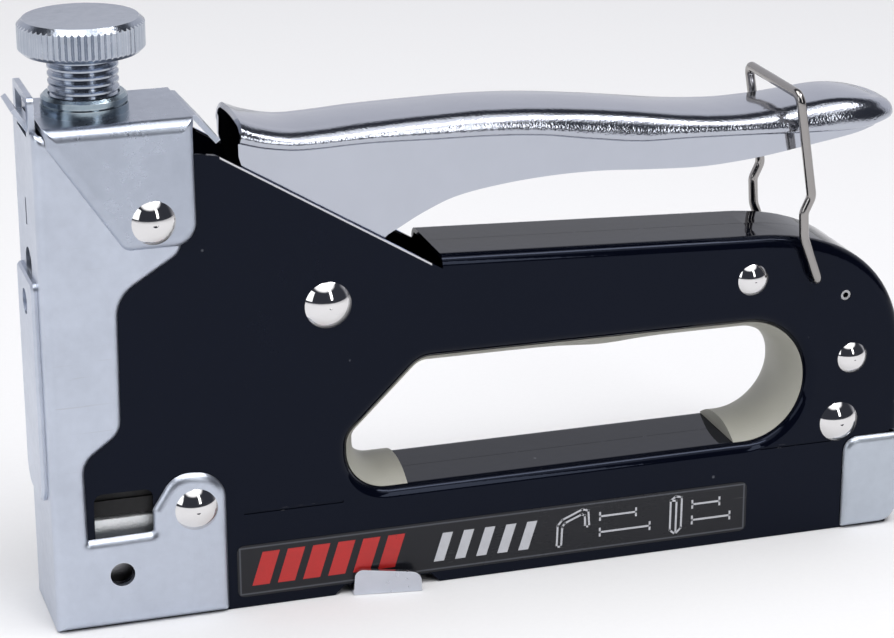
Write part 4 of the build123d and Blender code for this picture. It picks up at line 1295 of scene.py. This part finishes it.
# ---------------------------------------------------------------- studio
@dataclass
class Studio:
    """Floor, soft lights, surroundings and camera."""

    azimuth: float = 17.36
    elevation: float = 19.55
    roll: float = -0.20
    distance: float = 0.58156
    lens: float = 114.19
    target: Point = (85.02, 0.0, 53.34)
    floor_size: float = 6.0
    floor_drop: float = 0.0001
    floor_grain: float = 900.0
    floor_dark: Colour = (0.84, 0.84, 0.845)
    floor_pale: Colour = (0.87, 0.87, 0.875)
    ceiling_axis: Point = (0.0, -0.25, 0.968)
    ceiling_light: Colour = (1.45, 1.45, 1.48)
    room_dark: Colour = (0.04, 0.043, 0.055)
    backdrop_pale: Colour = (0.72, 0.725, 0.78)
    ground: Colour = (0.7, 0.7, 0.72)
    aim: Point = (0.0, 0.0, 0.05)
    lamps: tuple[tuple[str, Point, Flat, float, Colour], ...] = (
        ("overhead", (-0.25, 0.05, 1.1), (0.9, 0.6), 4.0, (1.0, 0.99, 0.98)),
        ("bend_strip", (0.31, -0.39, 1.06), (0.9, 0.2), 4.4, (1.0, 0.99, 1.0)),
        ("front_strip", (0.33, -1.02, 0.62), (0.17, 0.75), 1.5, (1.0, 1.0, 1.0)),
        ("left_fill", (-1.0, -0.45, 0.5), (0.5, 0.7), 2.0, (0.97, 0.985, 1.0)))

    def floor(self) -> None:
        """Pale floor under the foot."""
        half = self.floor_size / 2
        corners = [Vector((-half, -half, 0.0)), Vector((half, -half, 0.0)), Vector((half, half, 0.0)),
                   Vector((-half, half, 0.0))]
        piece = mesh_piece("studio_floor", corners, [(0, 1, 2, 3)])
        piece.location.z = -self.floor_drop
        paint = bpy.data.materials.new("floor_paper")
        paint.use_nodes = True
        graph = Graph(paint.node_tree)
        shader = paint.node_tree.nodes["Principled BSDF"]
        shade = graph.noise(graph.spot(), self.floor_grain, detail=3.0)
        graph.feed(shader.inputs["Base Color"], graph.mix(shade, self.floor_dark, self.floor_pale))
        shader.inputs["Roughness"].default_value = 0.9
        shader.inputs["Specular IOR Level"].default_value = 0.1
        piece.data.materials.append(paint)

    def surroundings(self) -> None:
        """Pale backdrop low behind the tool, bright ceiling and a dark room in front."""
        world = bpy.data.worlds.new("studio")
        world.use_nodes = True
        world.node_tree.nodes.clear()
        graph = Graph(world.node_tree)
        place = graph.add("ShaderNodeTexCoord").outputs["Generated"]
        split = graph.add("ShaderNodeSeparateXYZ", {0: place})
        up = split.outputs[2]
        behind = graph.remap(split.outputs[1], -0.25, 0.2, smooth=True)
        low = graph.remap(up, 0.5, 0.66, 1.0, 0.0, smooth=True)
        backdrop = graph.times(behind, low)
        ceiling = graph.remap(graph.dot(place, self.ceiling_axis), 0.79, 0.88, smooth=True)
        pale = graph.mix(backdrop, self.room_dark, self.backdrop_pale)
        whole = graph.mix(ceiling, pale, self.ceiling_light)
        horizon = graph.remap(up, -0.02, 0.0)
        colour = graph.mix(horizon, self.ground, whole)
        back = graph.add("ShaderNodeBackground", {"Color": colour, "Strength": 1.0})
        graph.add("ShaderNodeOutputWorld", {"Surface": back.outputs[0]})
        bpy.context.scene.world = world

    def lamp(self, name: str, place: Point, size: Flat, power: float, tint: Colour) -> None:
        """One rectangular soft light.

        Args:
            name: The light's name.
            place: Where it hangs, metres.
            size: Its width and height, metres.
            power: Its output, watts.
            tint: Its colour.
        """
        data = bpy.data.lights.new(name, "AREA")
        data.shape = "RECTANGLE"
        data.size, data.size_y = size
        data.energy = power
        data.color = tint
        light = bpy.data.objects.new(name, data)
        light.location = place
        light.rotation_euler = (Vector(self.aim) - Vector(place)).to_track_quat("-Z", "Y").to_euler()
        bpy.context.scene.collection.objects.link(light)

    def lights(self) -> None:
        """Big soft light overhead, one strip for the bend, one in front and a fill from the left."""
        for settings in self.lamps:
            self.lamp(*settings)

    def camera(self) -> None:
        """Long-lens camera at the viewing angle."""
        turn, tilt = math.radians(self.azimuth), math.radians(self.elevation)
        back = Vector((-math.sin(turn) * math.cos(tilt), -math.cos(turn) * math.cos(tilt), math.sin(tilt)))
        data = bpy.data.cameras.new("studio_camera")
        data.sensor_width = 36.0
        data.lens = self.lens
        data.clip_start = 0.01
        data.clip_end = 50.0
        camera = bpy.data.objects.new("studio_camera", data)
        camera.location = row(*self.target) + back * self.distance
        camera.rotation_mode = "QUATERNION"
        level = (-back).to_track_quat("-Z", "Y")
        camera.rotation_quaternion = level @ Quaternion((0.0, 0.0, 1.0), math.radians(self.roll))
        bpy.context.scene.collection.objects.link(camera)
        bpy.context.scene.camera = camera

    def build(self) -> list[Thing]:
        """Sets up the whole studio."""
        self.floor()
        self.surroundings()
        self.lights()
        self.camera()
        bpy.context.scene.view_settings.view_transform = "Standard"
        return []


def main() -> None:
    """Builds every sub-assembly in order and reports each piece."""
    logging.basicConfig(level=logging.INFO, format="%(name)s: %(message)s")
    parts = (Housing(), GripLining(), SqueezeLever(), LockBail(), DriveTrain(), Magazine(), Label(),
             Studio())
    for part in parts:
        for piece in part.build():
            LOG.info("%s: %s, %d faces", type(part).__name__, piece.name, len(piece.data.polygons))


if __name__ == "__main__":
    main()
